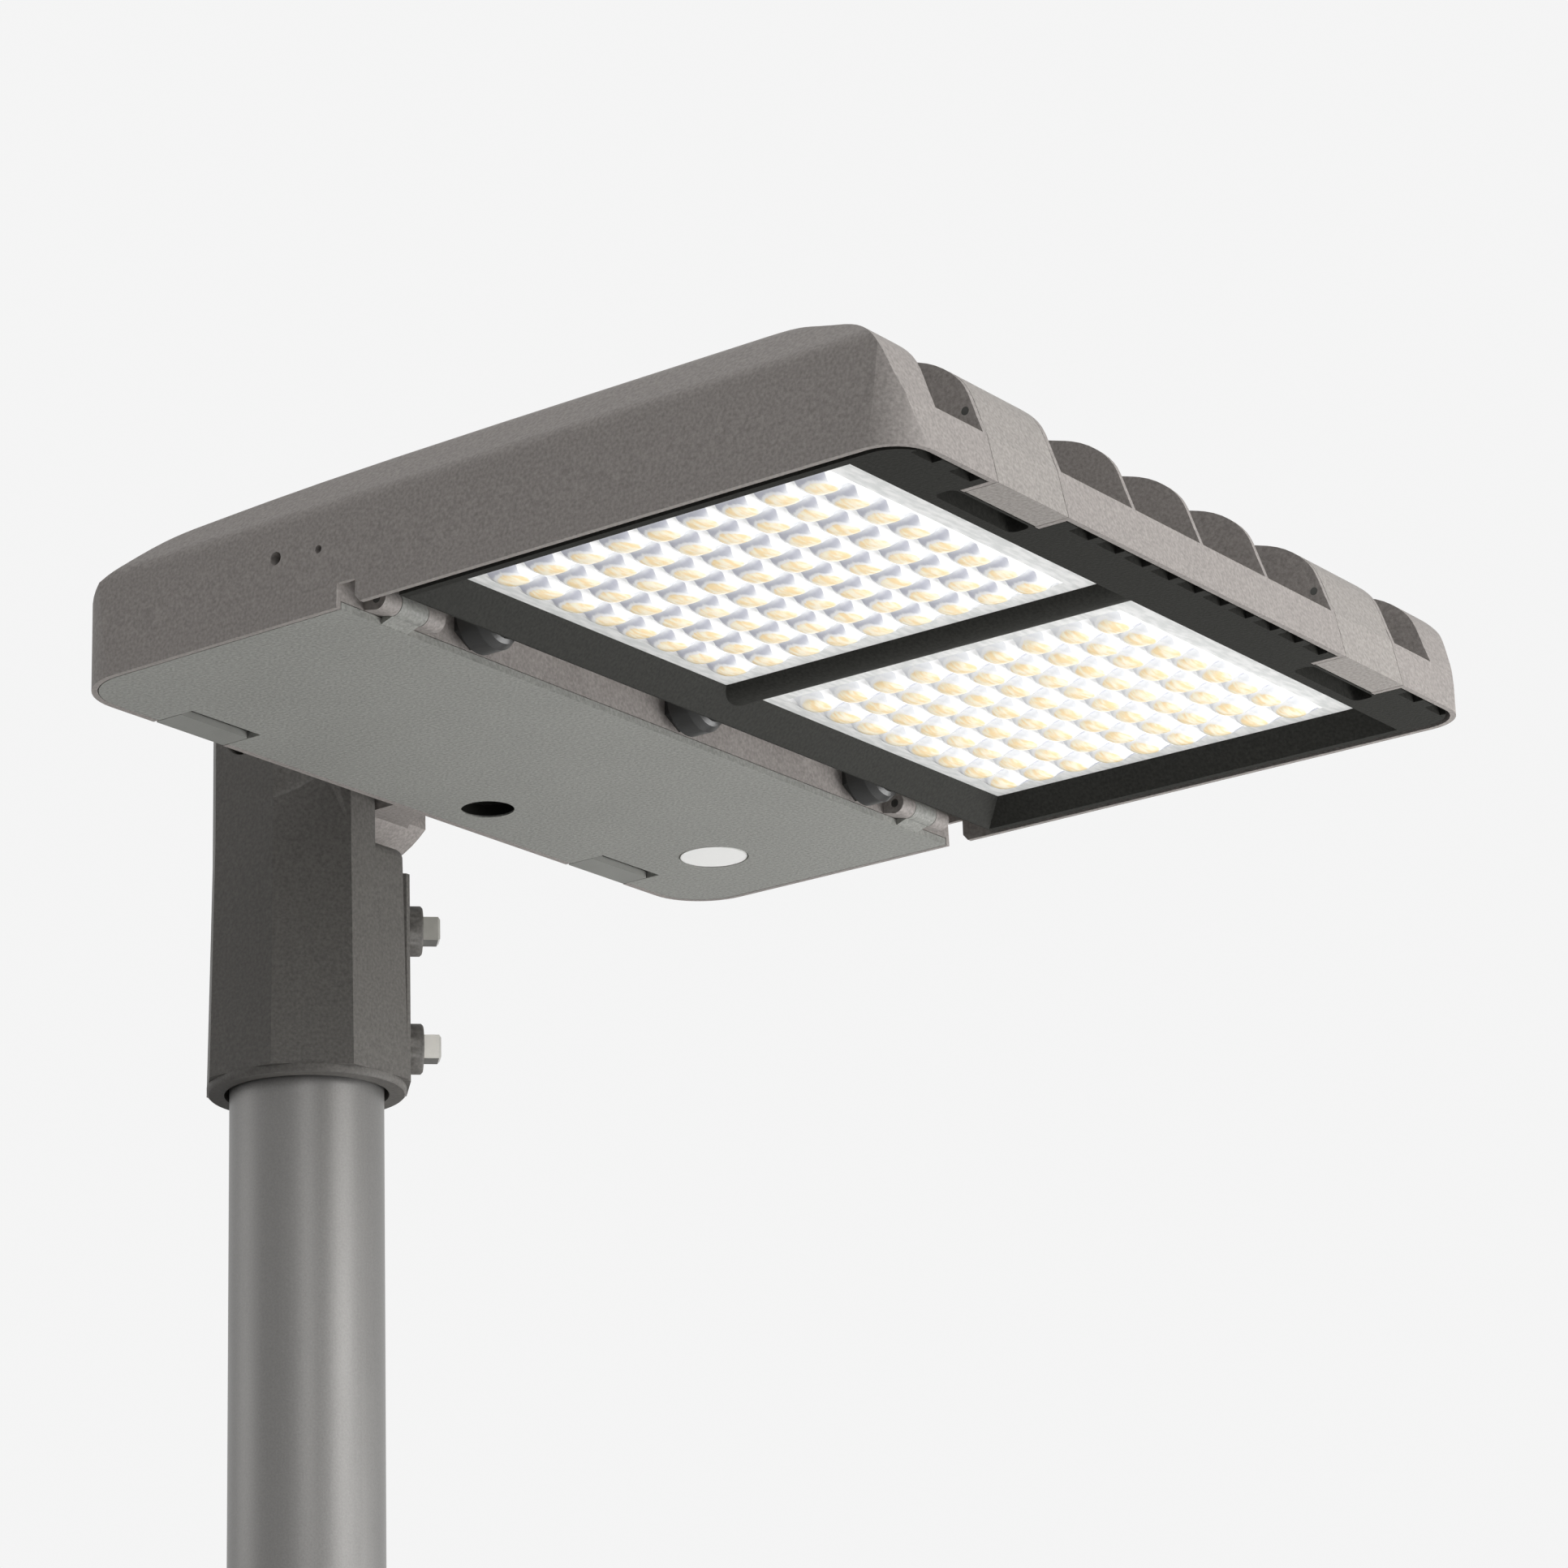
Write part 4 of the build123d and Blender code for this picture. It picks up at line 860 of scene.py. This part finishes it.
@dataclass
class DriverBay:
    """Gear tray and what is mounted on it, hidden behind the door."""

    def build(self) -> None:
        """Dresses the tray, driver, surge protector and terminals."""
        dress(Finishes.TRAY, "gear_tray")
        dress(Finishes.BOLT, "tray_screws", "driver_screws")
        dress(Finishes.DRIVER, "led_driver")
        dress(Finishes.SURGE, "surge_protector")
        dress(Finishes.TERMINAL, "terminal_block")


@dataclass(frozen=True)
class Lamp:
    """A soft box of the studio."""

    name: str
    place: Place
    target: Place
    size: tuple[float, float]
    power: float
    colour: Colour = (1.0, 1.0, 1.0)

    def build(self) -> None:
        """Hangs the lamp and turns it to its target."""
        data = bpy.data.lights.new(self.name, "AREA")
        data.shape = "RECTANGLE"
        data.size, data.size_y = self.size
        data.energy = self.power
        data.color = self.colour
        lamp = bpy.data.objects.new(self.name, data)
        bpy.context.scene.collection.objects.link(lamp)
        lamp.location = self.place
        towards = Vector(self.target) - Vector(self.place)
        lamp.rotation_mode = "QUATERNION"
        lamp.rotation_quaternion = towards.to_track_quat("-Z", "Y")


SOFT_BOXES = (
    Lamp("key_front_near", (1.3, -1.5, 1.7), HEAD_MIDDLE, (1.4, 1.4), 10.0),
    Lamp("front_box", (2.0, 0.2, 0.9), (0.35, 0.0, 0.33), (1.2, 1.2), 22.0),
    Lamp("overhead", (0.0, -0.4, 2.2), HEAD_MIDDLE, (1.6, 1.6), 7.0),
    Lamp("low_front_far", (1.0, 0.9, -0.35), (0.25, 0.05, 0.3), (0.9, 0.9), 15.0),
    Lamp("under_front", (0.9, 0.5, -0.6), (0.15, 0.0, 0.3), (1.4, 1.4), 6.0),
    Lamp("pole_strip", (1.25, -1.35, 0.45), (0.0, 0.0, 0.0), (0.25, 0.9), 3.0),
    Lamp("left_fill", (-1.3, -0.9, 0.2), (0.0, 0.0, 0.2), (0.9, 0.9), 3.0),
)


@dataclass
class Studio:
    """Camera, pale floor, white surround and soft lamps."""

    lens: float = 108.66
    eye: Place = (1.200317, -1.337718, -0.264785)
    turn: float = 35.8506
    rise: float = 17.9459
    roll: float = -1.8482
    floor_z: float = -0.75
    floor_half: float = 6.0
    white: float = 0.91
    ambient: float = 0.10

    def camera(self) -> None:
        """Sets the camera that the photograph was taken from."""
        data = bpy.data.cameras.new("camera")
        data.lens = self.lens
        data.sensor_width = 36.0
        data.clip_start, data.clip_end = 0.05, 60.0
        camera = bpy.data.objects.new("camera", data)
        bpy.context.scene.collection.objects.link(camera)
        turn, rise, roll = (math.radians(a) for a in (self.turn, self.rise, self.roll))
        ahead = Vector((
            -math.sin(turn) * math.cos(rise), math.cos(turn) * math.cos(rise), math.sin(rise)
        ))
        side = ahead.cross(Vector((0, 0, 1))).normalized()
        top = side.cross(ahead)
        right = side * math.cos(roll) + top * math.sin(roll)
        up = top * math.cos(roll) - side * math.sin(roll)
        turned = Matrix((right, up, -ahead)).transposed().to_4x4()
        camera.matrix_world = Matrix.Translation(self.eye) @ turned
        bpy.context.scene.camera = camera

    def surround(self) -> None:
        """White for the camera and for reflections, a dim even light for the rest."""
        world = bpy.data.worlds.new("surround")
        world.use_nodes = True
        bpy.context.scene.world = world
        tree = world.node_tree
        tree.nodes.clear()
        path = tree.nodes.new("ShaderNodeLightPath")
        seen = tree.nodes.new("ShaderNodeBackground")
        seen.inputs[0].default_value = (self.white, self.white, self.white, 1.0)
        soft = tree.nodes.new("ShaderNodeBackground")
        soft.inputs[0].default_value = (1.0, 1.0, 1.0, 1.0)
        soft.inputs[1].default_value = self.ambient
        share = None
        for ray in ("Is Camera Ray", "Is Glossy Ray", "Is Transmission Ray"):
            if share is None:
                share = path.outputs[ray]
            else:
                larger = tree.nodes.new("ShaderNodeMath")
                larger.operation = "MAXIMUM"
                tree.links.new(share, larger.inputs[0])
                tree.links.new(path.outputs[ray], larger.inputs[1])
                share = larger.outputs[0]
        both = tree.nodes.new("ShaderNodeMixShader")
        tree.links.new(share, both.inputs[0])
        tree.links.new(soft.outputs[0], both.inputs[1])
        tree.links.new(seen.outputs[0], both.inputs[2])
        out = tree.nodes.new("ShaderNodeOutputWorld")
        tree.links.new(both.outputs[0], out.inputs["Surface"])

    def floor(self) -> None:
        """A wide pale floor below the pole's cut end."""
        mesh = bmesh.new()
        bmesh.ops.create_grid(mesh, x_segments=4, y_segments=4, size=self.floor_half)
        bmesh.ops.translate(mesh, verts=mesh.verts, vec=(0.0, 0.0, self.floor_z))
        data = bpy.data.meshes.new("floor")
        mesh.to_mesh(data)
        mesh.free()
        s = Shader("floor_paper")
        tone = s.noise(s.place(), 3.0, 2.0)
        paper = s.surface(
            Base_Color=s.mix(tone * 0.1, (0.80, 0.80, 0.80), (0.76, 0.76, 0.76)), Roughness=0.9
        )
        data.materials.append(s.finish(paper))
        floor = bpy.data.objects.new("floor", data)
        bpy.context.scene.collection.objects.link(floor)

    def lamps(self) -> None:
        """Hangs the soft boxes."""
        for lamp in SOFT_BOXES:
            lamp.build()

    def build(self) -> None:
        """Sets the stage."""
        self.camera()
        self.surround()
        self.floor()
        self.lamps()
        bpy.context.scene.view_settings.view_transform = "Standard"


def main() -> None:
    """Builds and dresses every sub-assembly in order."""
    logging.basicConfig(level=logging.INFO, format="%(name)s: %(message)s")
    Studio().build()
    for part in (Pole(), Head(), Optics(), Door(), DriverBay()):
        part.build()
        LOG.info("%s done", type(part).__name__)


if __name__ == "__main__":
    main()
